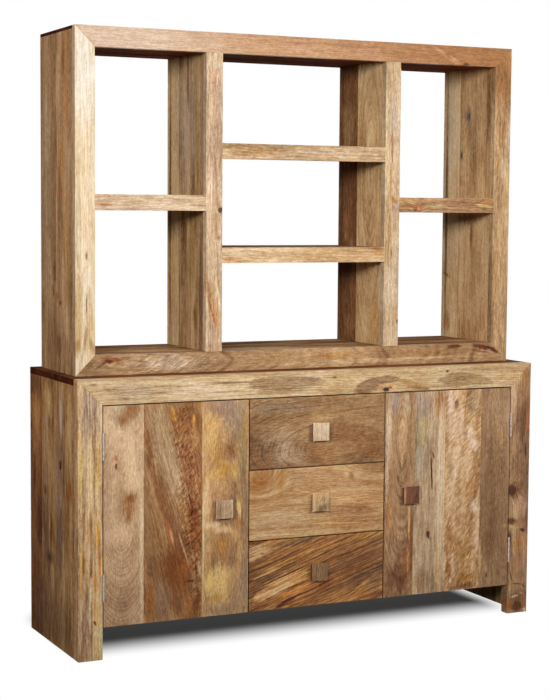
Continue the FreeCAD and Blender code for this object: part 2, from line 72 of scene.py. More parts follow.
# %% [markdown]
# ## The camera
# The photograph was taken from the left of the middle and a little above the shelves, with
# a long lens, so the uprights stay nearly upright. The place and the turns below come from
# fitting the corners of the real piece, and a rotation matrix is built from them in the
# order yaw, pitch, roll, which is how a tripod head is set.

# %% Set up the camera
CAMERA_PLACE = (-2.17272, -4.45073, 1.22461)
YAW, PITCH, ROLL = -0.44628, 0.08266, 0.00721
LENS_MM = 86.12

bpy.ops.object.select_all(action="DESELECT")
bpy.ops.object.camera_add()
camera = bpy.context.object
camera.name = "camera"
camera.data.lens = LENS_MM
camera.matrix_world = (
    Matrix.Translation(CAMERA_PLACE)
    @ Matrix.Rotation(YAW, 4, "Z")
    @ Matrix.Rotation(pi / 2 - PITCH, 4, "X")
    @ Matrix.Rotation(ROLL, 4, "Z")
)
bpy.context.scene.camera = camera
bpy.context.scene.view_settings.view_transform = "Standard"
print("camera lens", LENS_MM, "mm")

# %% [markdown]
# ## Colours and nodes
# A hex code is written in sRGB, the way a screen shows it, while a shader counts light, so
# one function turns a code into linear numbers. A second empties a node tree, and a third
# adds one node with its settings and its links, which keeps each material readable from
# top to bottom. Sockets that share a name are given by number: a Mix node for colours
# takes its share in 0 and its two colours in 6 and 7, and gives the mixed one as 2.


# %% Three small helpers
def linear(code):
    """An sRGB hex code as a linear colour."""
    shares = [int(code[at : at + 2], 16) / 255 for at in (1, 3, 5)]
    return (*[s / 12.92 if s <= 0.04045 else ((s + 0.055) / 1.055) ** 2.4 for s in shares], 1)


def blank(holder):
    """Switch a new material or world to nodes, and give its emptied tree."""
    holder.use_nodes = True
    holder.node_tree.nodes.clear()
    return holder.node_tree


def add(tree, kind, inputs=(), **settings):
    """Add one shader node, set it, and link or fill its inputs; a node gives its first output."""
    node = tree.nodes.new("ShaderNode" + kind)
    for name, value in settings.items():
        setattr(node, name, value)
    for socket, value in dict(inputs).items():
        if isinstance(value, bpy.types.Node):
            value = value.outputs[0]
        if isinstance(value, bpy.types.NodeSocket):
            tree.links.new(value, node.inputs[socket])
        else:
            node.inputs[socket].default_value = value
    return node


print("tan as light:", [round(v, 3) for v in linear("#D3A871")])

# %% [markdown]
# ## The studio
# The dresser stands on a seamless white sweep. Under the base the floor is real paper that
# takes the shadow, and just outside it fades into plain white, which only the camera and
# reflections see. Other rays meet a greyer floor, because a sheet of glowing white all
# round would wash out the undersides of the shelves.

# %% Floor and white surroundings
FLOOR_SIZE = 12
SHADOW_CENTRE = (0, 0.12, 0)
SHADOW_HALF = (0.64, 0.12, 0)
FADE_REACH = (0.1, 0.2, 1)
HAZE = 0.032
FILL_STRENGTH = 0.21


def seen(tree):
    """1 for rays that should see the white backdrop, and 0 for rays that carry light."""
    path = add(tree, "LightPath").outputs
    rays = {0: path["Is Camera Ray"], 1: path["Is Glossy Ray"]}
    either = add(tree, "Math", rays, operation="MAXIMUM")
    return add(tree, "Math", {0: either, 1: path["Is Transmission Ray"]}, operation="MAXIMUM")


bpy.ops.mesh.primitive_plane_add(size=FLOOR_SIZE)
floor = bpy.context.object
floor.name = "studio_floor"
paper = bpy.data.materials.new("white studio paper")
tree = blank(paper)
past = add(tree, "TexCoord").outputs["Object"]
# how far a point lies outside the shadow, in parts of the fade
for step, value in (
    ("SUBTRACT", SHADOW_CENTRE),
    ("ABSOLUTE", None),
    ("SUBTRACT", SHADOW_HALF),
    ("MAXIMUM", (0, 0, 0)),
    ("DIVIDE", FADE_REACH),
):
    past = add(tree, "VectorMath", {0: past, 1: value} if value else {0: past}, operation=step)
gap = add(tree, "VectorMath", {0: past}, operation="LENGTH").outputs["Value"]
fade = add(tree, "MapRange", {0: gap, 1: 0, 2: 1, 3: HAZE}, interpolation_type="SMOOTHSTEP")
shaded = add(tree, "BsdfDiffuse", {"Color": linear("#B4B6B8")})
glow = add(tree, "Emission", {"Strength": 1})
near = add(tree, "MixShader", {0: fade, 1: shaded, 2: glow})
grey = add(tree, "BsdfDiffuse", {"Color": linear("#6E6A66")})
both = add(tree, "MixShader", {0: seen(tree), 1: grey, 2: near})
add(tree, "OutputMaterial", {0: both})
floor.data.materials.append(paper)

world = bpy.data.worlds.new("white studio")
bpy.context.scene.world = world
tree = blank(world)
fill = add(tree, "Background", {"Color": linear("#FFFCF8"), "Strength": FILL_STRENGTH})
white = add(tree, "Background", {"Color": linear("#FFFFFF"), "Strength": 1})
both = add(tree, "MixShader", {0: seen(tree), 1: fill, 2: white})
add(tree, "OutputWorld", {0: both})
print("floor", FLOOR_SIZE, "m, fill", FILL_STRENGTH)

# %% [markdown]
# ## The lamps
# One wide softbox stands in front and a little to the right, where its reflection gives the
# fronts on the left a faint sheen; on the left stile, the left shelf strip and the left half
# of the top rail that sheen is also painted into their paler colour. A second stands to the
# left of the camera: it reaches through the open bays to the dividers behind, and the
# shelves throw soft shadows on them.
# Both are aimed at the hutch and carry a grid that narrows their beam, so the light falls
# off towards the floor. A weak one hangs above.

# %% Three softboxes
GRID, OPEN = radians(50), radians(180)
# name, place, target, width, height, power in watts, spread
LAMPS = (
    ("key_softbox", (0.7, -4.4, 2.3), (0.1, 0, 1.35), 3.0, 0.8, 13.5, GRID),
    ("left_softbox", (-3.2, -3.6, 2.05), (0, 0, 1.4), 2.0, 0.8, 15, GRID),
    ("top_softbox", (0.3, -0.9, 4.0), (0, -0.1, 0.8), 2.4, 1.8, 24, OPEN),
)
for name, place, target, wide, tall, power, spread in LAMPS:
    bpy.ops.object.light_add(type="AREA", location=place)
    lamp = bpy.context.object
    lamp.name = name
    lamp.data.shape = "RECTANGLE"
    lamp.data.size, lamp.data.size_y = wide, tall
    lamp.data.energy = power
    lamp.data.spread = spread
    lamp.rotation_euler = (Vector(target) - Vector(place)).to_track_quat("-Z", "Y").to_euler()
    print(name, power, "W")

# %% [markdown]
# ## Mango wood, step by step
# Mango is a pale tan wood with a brown or grey heart, yellow and orange stains from the
# living tree, and dark knots. Painting it flat would need a picture. Here each board is
# cut out of a pretend log instead: the distance from the heart of the log gives the growth
# rings, so straight grain, pointed arches and the wild grain beside a knot all come from
# one rule. The first step turns the piece's own coordinates into millimetres on its face.


# %% Millimetres on the face of a board
def face_space(tree, face):
    """The point as (to the right, up, through the board), in millimetres."""
    through = (set("XYZ") - set(face)).pop()
    parts = add(tree, "SeparateXYZ", {0: add(tree, "TexCoord").outputs["Object"]}).outputs
    turned = add(tree, "CombineXYZ", {0: parts[face[0]], 1: parts[face[1]], 2: parts[through]})
    return add(tree, "Mapping", {0: turned, 3: (1 / MM, 1 / MM, 1 / MM)})


print("faces are named by two letters, such as XZ for a front")

# %% [markdown]
# Marks are the stains, knots and paler streaks that make a board recognisable. Each is an
# ellipse on the face and one row of its board's table, in this order: its middle to the
# right and up, its half width and half height, all in millimetres, its colour, its
# strength, its turn in degrees, how torn and how soft its edge is, and how far it swells
# the rings, so that the grain flows round it. The last five are left out where they are
# usual. Torn edges follow the grain, as stain does in real wood. A knot is small and crisp.


# %% One mark on a board
def mark(right, up, wide, tall, colour, strength=0.85, turn=0, torn=0.6, soft=1.1, swell=0):
    """One row of a table of marks, with its values named."""
    return {
        "shape": (right, up, wide, tall, turn),
        "colour": linear(colour),
        "strength": strength,
        "torn": torn,
        "soft": soft,
        "swell": swell,
    }


def mark_distance(tree, flat, right, up, wide, tall, turn=0):
    """0 in the middle of an ellipse and 1 on its edge."""
    ellipse = {0: flat, 1: (right, up, 0), 2: (0, 0, radians(turn)), 3: (wide, tall, 1)}
    inside = add(tree, "Mapping", ellipse, vector_type="TEXTURE")
    return add(tree, "VectorMath", {0: inside}, operation="LENGTH").outputs["Value"]


KNOT = (0.95, 0, 0.3, 0.35)  # strength, turn, torn and soft of a knot, before its swell
print("a mark has", len(mark(0, 0, 1, 1, "#000000")), "values")

# %% [markdown]
# The ring number of a point is its distance from the heart line. Where the heart leans
# against the board, the cut shows nested arches, and a small lean gives long ones. Slow
# noise bends the heart, because no tree grows straight. The result keeps two flows: one
# that follows the rings, for the colour bands, and one that follows the fibres.

# %% Growth rings of the pretend log
NEXT_BOARD_MM = 1733.0  # how far along the log the next board of a glued panel comes from
BENDS = ((150, 620, 2.0), (34, 150, 0.56))  # width and length in mm of a bend, and its share
KNOT_REACH = 2.6  # the swell round a knot ends this many radii from its middle
BEND_STEPS = (7.31, 3.17, 1.93)  # a board's seed times these is its own place in the noise


def growth(tree, place, flat, wood):
    """Where a point lies in the log: by its rings, by its fibres, and across its board."""
    start = (*wood["heart"], wood["middle"])
    lean = (0, 0, radians(wood["lean"]))
    turned = add(tree, "Mapping", {0: place, 1: start, 2: lean}, vector_type="TEXTURE")
    parts = add(tree, "SeparateXYZ", {0: turned}).outputs
    upright = wood["grain"] == wood["face"][1]
    across, along = (parts[0], parts[1]) if upright else (parts[1], parts[0])
    tipped = add(tree, "Math", {0: along, 1: wood["tilt"], 2: parts[2]}, operation="MULTIPLY_ADD")
    section = add(tree, "CombineXYZ", {0: across, 1: tipped})
    ring = add(tree, "VectorMath", {0: section}, operation="LENGTH").outputs["Value"]
    edges = add(tree, "SeparateXYZ", {0: place}).outputs[0 if upright else 1]
    board = 0.0
    for seam, _ in wood["seams"]:
        beyond = add(tree, "Math", {0: edges, 1: seam}, operation="GREATER_THAN")
        board = add(tree, "Math", {0: beyond, 1: board}, operation="ADD")
    own = add(tree, "Math", {0: board, 1: NEXT_BOARD_MM, 2: along}, operation="MULTIPLY_ADD")
    spot = add(tree, "CombineXYZ", {0: across, 1: own, 2: parts[2]})
    shift = tuple(wood["seed"] * step for step in BEND_STEPS)
    off = 0.0
    for wide, tall, share in BENDS:
        slow = add(tree, "Mapping", {0: spot, 1: shift, 3: (1 / wide, 1 / tall, 1 / wide)})
        bend = add(tree, "TexNoise", {"Vector": slow, "Scale": 1, "Detail": 2})
        sway = {0: bend, 1: wood["sway"] * share, 2: off}
        off = add(tree, "Math", sway, operation="MULTIPLY_ADD")
    for spot in wood["marks"]:
        if spot["swell"]:
            away = mark_distance(tree, flat, *spot["shape"])
            span = {0: away, 1: 0, 2: KNOT_REACH, 3: spot["swell"], 4: 0}
            hill = add(tree, "MapRange", span, interpolation_type="SMOOTHERSTEP")
            off = add(tree, "Math", {0: off, 1: hill}, operation="ADD")
    ring = add(tree, "Math", {0: ring, 1: off}, operation="ADD")
    straight = add(tree, "Math", {0: across, 1: off}, operation="ADD")
    rings = add(tree, "CombineXYZ", {0: ring, 1: own, 2: parts[2]})
    fibres = add(tree, "CombineXYZ", {0: straight, 1: own, 2: parts[2]})
    return {"rings": rings, "fibres": fibres, "ring": ring, "along": along, "edges": edges}


print("rings follow the distance from the heart line")

# %% [markdown]
# Grain is noise drawn out along the fibres. The same helper makes the colour clouds, the
# bands, the streaks, the fibres and the flecks, only the width and length differ. Two more
# tear the edges of the marks. True pores are a tenth of a millimetre wide and would vanish
# at this size, so the finest grain is drawn about three millimetres wide, as coarse as it
# needs to show.

# %% Noise drawn out along the grain
NOISE_STEPS = (5.37, 2.71, 1.13)  # a grain's seed times these is its own place in the noise
# what each grain follows, its width and length in mm, and its detail
GRAINS = {
    "band": ("rings", (30, 500), 2.5),
    "streak": ("rings", (5, 80), 3),
    "cloud": ("fibres", (70, 230), 5),
    "fibre": ("fibres", (3.2, 20), 2.5),
    "fleck": ("fibres", (3, 8), 1),
    "tear": ("fibres", (14, 60), 5),
    "speck": ("fibres", (5, 14), 2.5),
}


def drawn_out(tree, where, size, detail, seed, low=0.32, high=0.68):
    """Noise stretched along the grain, spread to run from 0 to 1."""
    wide, tall = size
    shift = tuple(seed * step for step in NOISE_STEPS)
    scaled = add(tree, "Mapping", {0: where, 1: shift, 3: (1 / wide, 1 / tall, 1 / (2 * wide))})
    pattern = {"Vector": scaled, "Scale": 1, "Detail": detail, "Roughness": 0.6}
    return add(tree, "MapRange", {0: add(tree, "TexNoise", pattern), 1: low, 2: high})


print("grains:", {name: size for name, (_, size, _) in GRAINS.items()})

# %% [markdown]
# Every board starts from the settings of a plain one: lengths are in millimetres, turns in
# degrees, and the rest are shares from 0 to 1. Its bare colour is a ramp of four tones,
# and the clouds and the bands move along it. A seam is given as its place and the step in
# tone beyond it. The marks are painted over the bare colour. The noise that tears their
# edges is never below zero, so each edge is counted from the middle of that noise.

# %% Bare wood and its marks
PLAIN = {
    "lean": 0,
    "tilt": 0.02,
    "sway": 16,
    "clouds": 0.75,
    "bands": 0.5,
    "streaks": 0.45,
    "fibres": 0.45,
    "flecks": 0.25,
    "lines": 0.25,
    "line_gap": 9,
    "line_zone": None,
    "curl": 0.1,
    "curl_turn": 20,
    "curl_size": (30, 7),
    "curl_zone": None,
    "seams": (),
    "marks": (),
    # which faces are darkened and with what colour: the end grain, or sides named here, which is
    # painted shade
    "ends": None,
    "end_colour": "#7A4A2C",
    "roughness": 0.46,
    "gloss": 0.25,
}
OVER, DARKER, SOFTER = (
    {"data_type": "RGBA", "blend_type": how} for how in ("MIX", "MULTIPLY", "SOFT_LIGHT")
)
TEAR_MEAN = 0.75  # the middle of both tearing noises together
FADE_IN, FADE_OUT = 0.7, 0.3  # the parts of a soft edge that lie inside and outside it


def tint(ramp, tones):
    """Set the tones of a colour ramp, each given by its position and code."""
    stops = ramp.color_ramp.elements
    while len(stops) < len(tones):
        stops.new(0.5)
    for number, (position, code) in enumerate(tones):
        stops[number].position, stops[number].color = position, linear(code)


def bare_wood(tree, wood, grain, edges):
    """The colour of a board before its marks."""
    tone = 0.5 - (wood["clouds"] + wood["bands"]) / 2
    for name in ("cloud", "band"):
        layer = {0: grain[name], 1: wood[name + "s"], 2: tone}
        tone = add(tree, "Math", layer, operation="MULTIPLY_ADD")
    for seam, step in wood["seams"]:
        beyond = add(tree, "Math", {0: edges, 1: seam}, operation="GREATER_THAN")
        tone = add(tree, "Math", {0: beyond, 1: step, 2: tone}, operation="MULTIPLY_ADD")
    ramp = add(tree, "ValToRGB", {0: tone})
    last = len(wood["tones"]) - 1
    tint(ramp, [(number / last, code) for number, code in enumerate(wood["tones"])])
    return ramp


def marked(tree, wood, grain, flat, colour):
    """Paint the marks of a board over its colour."""
    for spot in wood["marks"]:
        away = mark_distance(tree, flat, *spot["shape"])
        for name, torn in (("tear", spot["torn"]), ("speck", spot["torn"] / 2)):
            away = add(tree, "Math", {0: grain[name], 1: torn, 2: away}, operation="MULTIPLY_ADD")
        edge = 1 + spot["torn"] * TEAR_MEAN
        inner, outer = edge - FADE_IN * spot["soft"], edge + FADE_OUT * spot["soft"]
        span = {0: away, 1: inner, 2: outer, 3: spot["strength"], 4: 0}
        share = add(tree, "MapRange", span, interpolation_type="SMOOTHSTEP")
        colour = add(tree, "Mix", {0: share, 6: colour, 7: spot["colour"]}, **OVER).outputs[2]
    return colour


print("plain board settings:", len(PLAIN))

# %% [markdown]
# Late wood is the thin dark line that ends each year. It is a sine wave over the rings,
# hurried and slowed by noise so that no two years are alike, and broken up by the tears.
# Curl is the shimmer of wavy fibres across the grain. On some boards it lies in one place
# only, which is an ellipse like a mark's.

# %% Growth lines and curl
WANDER, WANDER_SCALE = 14.0, 0.06  # how far the years wander, in radians, and how slowly
LATE_FROM = -0.2  # the height of the sine wave where late wood begins
BROKEN = 0.35  # what the tears leave of a line
CURL_DETAIL = 4
CURL_TORN, CURL_FROM, CURL_TO = 0.8, 1.0, 1.7  # the torn edge of a zone of curl


def late_wood(tree, wood, log, tear):
    """How much of the dark line of a year lies on a point."""
    year = add(tree, "Math", {0: log["ring"], 1: 2 * pi / wood["line_gap"]}, operation="MULTIPLY")
    slow = {"W": year, "Scale": WANDER_SCALE, "Detail": 1}
    wander = add(tree, "TexNoise", slow, noise_dimensions="1D")
    year = add(tree, "Math", {0: wander, 1: WANDER, 2: year}, operation="MULTIPLY_ADD")
    late = add(tree, "Math", {0: year}, operation="SINE")
    late = add(tree, "MapRange", {0: late, 1: LATE_FROM, 2: 1, 3: 0, 4: wood["lines"]})
    broken = add(tree, "MapRange", {0: tear, 3: BROKEN, 4: 1})
    late = add(tree, "Math", {0: late, 1: broken}, operation="MULTIPLY")
    if wood["line_zone"]:
        low, high = wood["line_zone"]
        zone = add(tree, "MapRange", {0: log["along"], 1: low, 2: high})
        late = add(tree, "Math", {0: late, 1: zone}, operation="MULTIPLY")
    return late


def curled(tree, wood, log, tear, flat, colour):
    """Lay the shimmer of curly grain over a colour."""
    swing = {0: log["fibres"], 2: (0, 0, radians(wood["curl_turn"]))}
    tipped = add(tree, "Mapping", swing, vector_type="TEXTURE")
    ripple = drawn_out(tree, tipped, wood["curl_size"], CURL_DETAIL, wood["seed"] + len(GRAINS))
    grey = add(tree, "CombineXYZ", {0: ripple, 1: ripple, 2: ripple})
    share = wood["curl"]
    if wood["curl_zone"]:
        away = mark_distance(tree, flat, *wood["curl_zone"])
        away = add(tree, "Math", {0: tear, 1: CURL_TORN, 2: away}, operation="MULTIPLY_ADD")
        share = add(tree, "MapRange", {0: away, 1: CURL_FROM, 2: CURL_TO, 3: share, 4: 0})
    return add(tree, "Mix", {0: share, 6: colour, 7: grey}, **SOFTER).outputs[2]


print("a curl is", PLAIN["curl_size"], "mm")

# %% [markdown]
# The finish is a clear satin lacquer on sanded wood: it deepens the colour and gives a
# faint sheen on the fronts, while the boards inside are hardly polished. Streaks and
# fibres are laid on last with soft light, which darkens and lightens by turns, so that a
# stain never looks like paint on top. Glued seams are thin dark lines, and end grain
# drinks more lacquer and goes darker. Where a board names its sides instead, the same
# darkening lies on those sides as painted shade.

# %% The lacquered mango
LATE_TONE, FLECK_TONE, SEAM_TONE = "#A87C55", "#9C7450", "#6B4327"
SEAM_HALF_MM, SEAM_SHARE = 0.9, 0.55
# the same settings paint shade on the sides of boards that name their sides in place of the end
# grain
END_FROM, END_TO, END_SHARE = 0.8, 0.95, 0.75  # how squarely a face has to be end grain
DULLER, GLOSSIER = 0.1, 0.04
RELIEF_STRENGTH, RELIEF_MM = 0.2, 0.25
LACQUER_IOR = 1.5


def mango(name, **given):
    """Lacquered mango wood for one board."""
    wood = {**PLAIN, **given}
    wood["marks"] = [mark(*row) for row in wood["marks"]]
    material = bpy.data.materials.new("lacquered mango " + name)
    tree = blank(material)
    place = face_space(tree, wood["face"])
    flat = add(tree, "VectorMath", {0: place, 1: (1, 1, 0)}, operation="MULTIPLY")
    log = growth(tree, place, flat, wood)
    grain = {
        kind: drawn_out(tree, log[follows], size, detail, wood["seed"] + number)
        for number, (kind, (follows, size, detail)) in enumerate(GRAINS.items())
    }
    colour = bare_wood(tree, wood, grain, log["edges"])
    colour = marked(tree, wood, grain, flat, colour)
    late = late_wood(tree, wood, log, grain["tear"])
    colour = add(tree, "Mix", {0: late, 6: colour, 7: linear(LATE_TONE)}, **DARKER).outputs[2]
    for kind in ("streak", "fibre"):
        grey = add(tree, "CombineXYZ", {0: grain[kind], 1: grain[kind], 2: grain[kind]})
        share = wood[kind + "s"]
        colour = add(tree, "Mix", {0: share, 6: colour, 7: grey}, **SOFTER).outputs[2]
    dark = add(tree, "MapRange", {0: grain["fleck"], 3: wood["flecks"], 4: 0})
    colour = add(tree, "Mix", {0: dark, 6: colour, 7: linear(FLECK_TONE)}, **DARKER).outputs[2]
    colour = curled(tree, wood, log, grain["tear"], flat, colour)
    for seam, _ in wood["seams"]:
        width = {0: log["edges"], 1: seam, 2: SEAM_HALF_MM}
        joint = add(tree, "Math", width, operation="COMPARE")
        joint = add(tree, "Math", {0: joint, 1: SEAM_SHARE}, operation="MULTIPLY")
        layer = {0: joint, 6: colour, 7: linear(SEAM_TONE)}
        colour = add(tree, "Mix", layer, **DARKER).outputs[2]
    # end grain is darkened; on boards that name their sides instead, this paints shade on those
    # sides
    normal = add(tree, "SeparateXYZ", {0: add(tree, "TexCoord").outputs["Normal"]})
    end = normal.outputs[wood["ends"] or wood["grain"]]
    end = add(tree, "Math", {0: end}, operation="ABSOLUTE")
    end = add(tree, "MapRange", {0: end, 1: END_FROM, 2: END_TO, 3: 0, 4: END_SHARE})
    layer = {0: end, 6: colour, 7: linear(wood["end_colour"])}
    colour = add(tree, "Mix", layer, **DARKER).outputs[2]
    dull, glossy = wood["roughness"] + DULLER, wood["roughness"] - GLOSSIER
    sheen = add(tree, "MapRange", {0: grain["fibre"], 3: dull, 4: glossy})
    relief = add(tree, "Math", {0: grain["fibre"], 1: grain["fleck"]}, operation="ADD")
    depth = {"Strength": RELIEF_STRENGTH, "Distance": RELIEF_MM * MM, "Height": relief}
    finish = {"Base Color": colour, "Roughness": sheen, "Normal": add(tree, "Bump", depth)}
    clear = {"IOR": LACQUER_IOR, "Specular IOR Level": wood["gloss"]}
    add(tree, "OutputMaterial", {0: add(tree, "BsdfPrincipled", {**finish, **clear})})
    return material


print("seams are", 2 * SEAM_HALF_MM, "mm wide")

# %% [markdown]
# ## Softened edges
# A saw leaves an edge sharp enough to cut, so a joiner takes it off with a few strokes of
# sandpaper. The measured board is copied, its loose triangles are merged back into clean
# faces, and a bevel modifier rounds the edges by under a millimetre. Where two boards meet
# this leaves the hairline groove that shows each joint, the mitres above all.


# %% Copy a board and soften its edges
EDGE = 0.7 * MM
MERGE = 0.01 * MM
SHARP, FLAT = radians(28), radians(1)  # sharper edges are softened, flatter ones dissolved
made = []


def start_fresh():
    """Leave edit mode and deselect everything, so an operator acts on one piece only."""
    if bpy.context.mode != "OBJECT":
        bpy.ops.object.mode_set(mode="OBJECT")
    bpy.ops.object.select_all(action="DESELECT")


def soften(piece):
    """Round the edges with a bevel and keep the flats flat."""
    bpy.context.view_layer.objects.active = piece
    piece.select_set(True)
    bpy.ops.object.shade_smooth()
    edge = piece.modifiers.new("softened edges", "BEVEL")
    edge.width = EDGE
    edge.segments = 2
    edge.limit_method = "ANGLE"
    edge.angle_limit = SHARP
    flats = piece.modifiers.new("flat faces", "WEIGHTED_NORMAL")
    flats.keep_sharp = False
    bpy.ops.object.modifier_apply(modifier=edge.name)
    bpy.ops.object.modifier_apply(modifier=flats.name)


def eased(node, material):
    """A softened copy of one measured board."""
    start_fresh()
    piece = bpy.data.objects.new("dressed_" + node, nodes[node].data.copy())
    bpy.context.scene.collection.objects.link(piece)
    bpy.context.view_layer.objects.active = piece
    piece.select_set(True)
    bpy.ops.object.mode_set(mode="EDIT")
    bpy.ops.mesh.select_all(action="SELECT")
    bpy.ops.mesh.customdata_custom_splitnormals_clear()
    bpy.ops.mesh.remove_doubles(threshold=MERGE)
    bpy.ops.mesh.dissolve_limited(angle_limit=FLAT)
    bpy.ops.object.mode_set(mode="OBJECT")
    soften(piece)
    piece.data.materials.clear()
    piece.data.materials.append(material)
    return piece


def hand_over(piece, node):
    """Put a finished piece in the place of its node, riding where the node rides."""
    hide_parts(node)
    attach(piece, nodes[node]["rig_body"])
    made.append(node)


print("edges softened by", round(EDGE / MM, 2), "mm")

# %% [markdown]
# ## A wood for each board
# A board is described by its face, the direction of its grain, four tones from its
# lightest to its darkest wood, where the heart of its log lies, and its marks. The depth
# of the heart is read from the board itself, so that the pattern starts on the face seen
# first.

# %% Dress one measured board
LEVEL_FRONT, UPRIGHT_FRONT = {"face": "XZ", "grain": "X"}, {"face": "XZ", "grain": "Z"}
UPRIGHT_SIDE, LYING = {"face": "YZ", "grain": "Z"}, {"face": "XY", "grain": "X"}


def wood_for(node, **given):
    """The mango wood of one board, with its heart set at the depth of its outer face."""
    low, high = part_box(node)
    through = "XYZ".index((set("XYZ") - set(given["face"])).pop())
    middle = (high if through == 2 else low)[through] / MM
    return mango(node.replace("_", " "), middle=middle, **given)


def dress(node, slot, **given):
    """Soften one board and give it its own wood."""
    hand_over(eased(node, wood_for(node, **given)), node)


print("ready to dress", len([n for n in nodes if "hinge" not in n]), "nodes")

# %% [markdown]
# ### The frame of the base
# The rail and the two legs are the palest wood of the base. The rail shows a grey heart
# stripe, yellow sap, and a knot above the right-hand door with grey arches around it. The
# legs carry the yellow streaks and dark knots that mango is known for.

# %% Rail and legs
dress(
    "base_top_rail", "mango_wood", **LEVEL_FRONT, seed=3, heart=(-900, 640), tilt=0.03,
    tones=("#E5CDA8", "#DBC096", "#CFAF82", "#B79568"), clouds=0.5, lines=0.35, line_gap=7,
    marks=(
        (-560, 732, 70, 26, "#C0A889", 0.75, 0, 0.8), (-480, 728, 60, 3, "#836448", 0.7, 0, 0.4),
        (-520, 742, 90, 2.5, "#8F704F", 0.6, 3, 0.4), (-400, 734, 62, 26, "#E7CFAF", 0.8),
        (-280, 747, 60, 4, "#8F6C49", 0.85, 0, 0.5), (-300, 722, 80, 2.5, "#A58058", 0.7, 0, 0.4),
        (-118, 740, 116, 21, "#AA8B65", 0.95, 0, 0.18, 0.35),
        (-46, 742, 72, 15, "#A88A67", 0.95, -4, 0.18, 0.35),
        (-175, 736, 42, 10, "#A5835B", 0.9, 6, 0.2, 0.4),
        (-120, 715, 86, 7, "#AB8B64", 0.85, 0, 0.25, 0.5),
        (-90, 723, 110, 1.6, "#7B5839", 0.8, 0, 0.3, 0.6), (70, 738, 60, 27, "#CDAC76", 0.7),
        (50, 750, 9, 4, "#7A5533", 0.85, 0, 0.7),
        (165, 722, 56, 20, "#9C7A58", 0.95, 14, 0.2, 0.35),
        (225, 738, 44, 12, "#9C7A55", 0.95, 0, 0.2, 0.35),
        (305, 723, 62, 8, "#BA925C", 0.92, -16, 0.25, 0.4), (330, 708, 50, 5, "#866039", 0.8, -10),
        (240, 712, 16, 14, "#EABF8B", 0.9, 0, 0.4),
        (212, 716, 24, 10, "#CCA36E", 0.92, 0, 0.4, 1.1, 10),
        (221, 708, 11, 7, "#40190F", *KNOT, 8), (236, 713, 6, 4, "#632E16", 0.9),
        (478, 728, 84, 21, "#AB8B64", 0.95, 0, 0.2, 0.35),
        (540, 722, 60, 13, "#B8986C", 0.85, -6, 0.25, 0.6),
        (470, 742, 50, 8, "#A17F5A", 0.9, 0, 0.2, 0.4), (428, 755, 7, 4, "#472B14", 0.9, 0, 0.8),
        (440, 708, 40, 5, "#997752", 0.6), (650, 735, 60, 34, "#D7AF81", 0.7),
        (-676, 756, 14, 3, "#7A5932", 0.75, 0, 1.0), (-640, 742, 16, 3, "#815E39", 0.7, 0, 1.0),
        (-590, 716, 22, 3, "#866340", 0.7, 0, 1.0),
    ),
)
dress(
    "base_left_leg", "mango_wood", **UPRIGHT_FRONT, seed=8, heart=(-820, 300),
    tones=("#F6E8BB", "#EECB9D", "#D1AC81", "#A98560"), clouds=0.6, streaks=0.65, fibres=0.5,
    # its sides are darkened with the end colour: painted shade on the leg's side faces
    flecks=0.3, gloss=0.05, ends="X", end_colour="#F6D9B1",
    marks=(
        (-690, 680, 40, 92, "#B99F86", 0.88, 0, 0.4), (-719, 660, 4, 110, "#E7C392", 0.8),
        (-700, 690, 3, 60, "#95765F", 0.7), (-676, 640, 4, 44, "#9E7959", 0.75),
        (-718, 510, 5, 90, "#EED679", 0.95, 0, 0.4), (-709, 430, 6, 170, "#B38E6B", 0.9, 0, 0.4),
        (-690, 500, 10, 120, "#F4DAAA", 0.9, 0, 0.4), (-667, 520, 5, 90, "#F5D287", 0.9, 0, 0.4),
        (-678, 470, 3, 90, "#B88B5D"), (-699, 330, 4, 110, "#EFC183"),
        (-688, 350, 6, 80, "#B98B58", 0.9, 0, 0.5), (-668, 345, 7, 50, "#E4A839", 0.95),
        (-673, 350, 3, 22, "#EFC17A", 0.9), (-663, 270, 5, 70, "#E3933F", 0.92),
        (-657, 230, 2.5, 80, "#F6DA70", 0.9), (-676, 225, 8, 34, "#DF9647", 0.9),
        (-709, 262, 5, 46, "#AC763A", 0.95), (-718, 250, 4, 90, "#EFBE6F", 0.9, 0, 0.4),
        (-700, 190, 8, 60, "#B88B5E", 0.9), (-688, 262, 6, 36, "#A57650", 0.9),
        (-706, 80, 15, 110, "#B69174", 0.92, 0, 0.5), (-672, 120, 14, 70, "#F4C177", 0.9, 0, 0.4),
        (-672, 40, 12, 60, "#F6D699", 0.9, 0, 0.4), (-686, 90, 3, 90, "#A57B57"),
        (-677, 104, 5, 9, "#794A2B", 0.95, 20, 0.4, 0.7), (-716, 10, 8, 12, "#B6885E", 0.9),
    ),
)
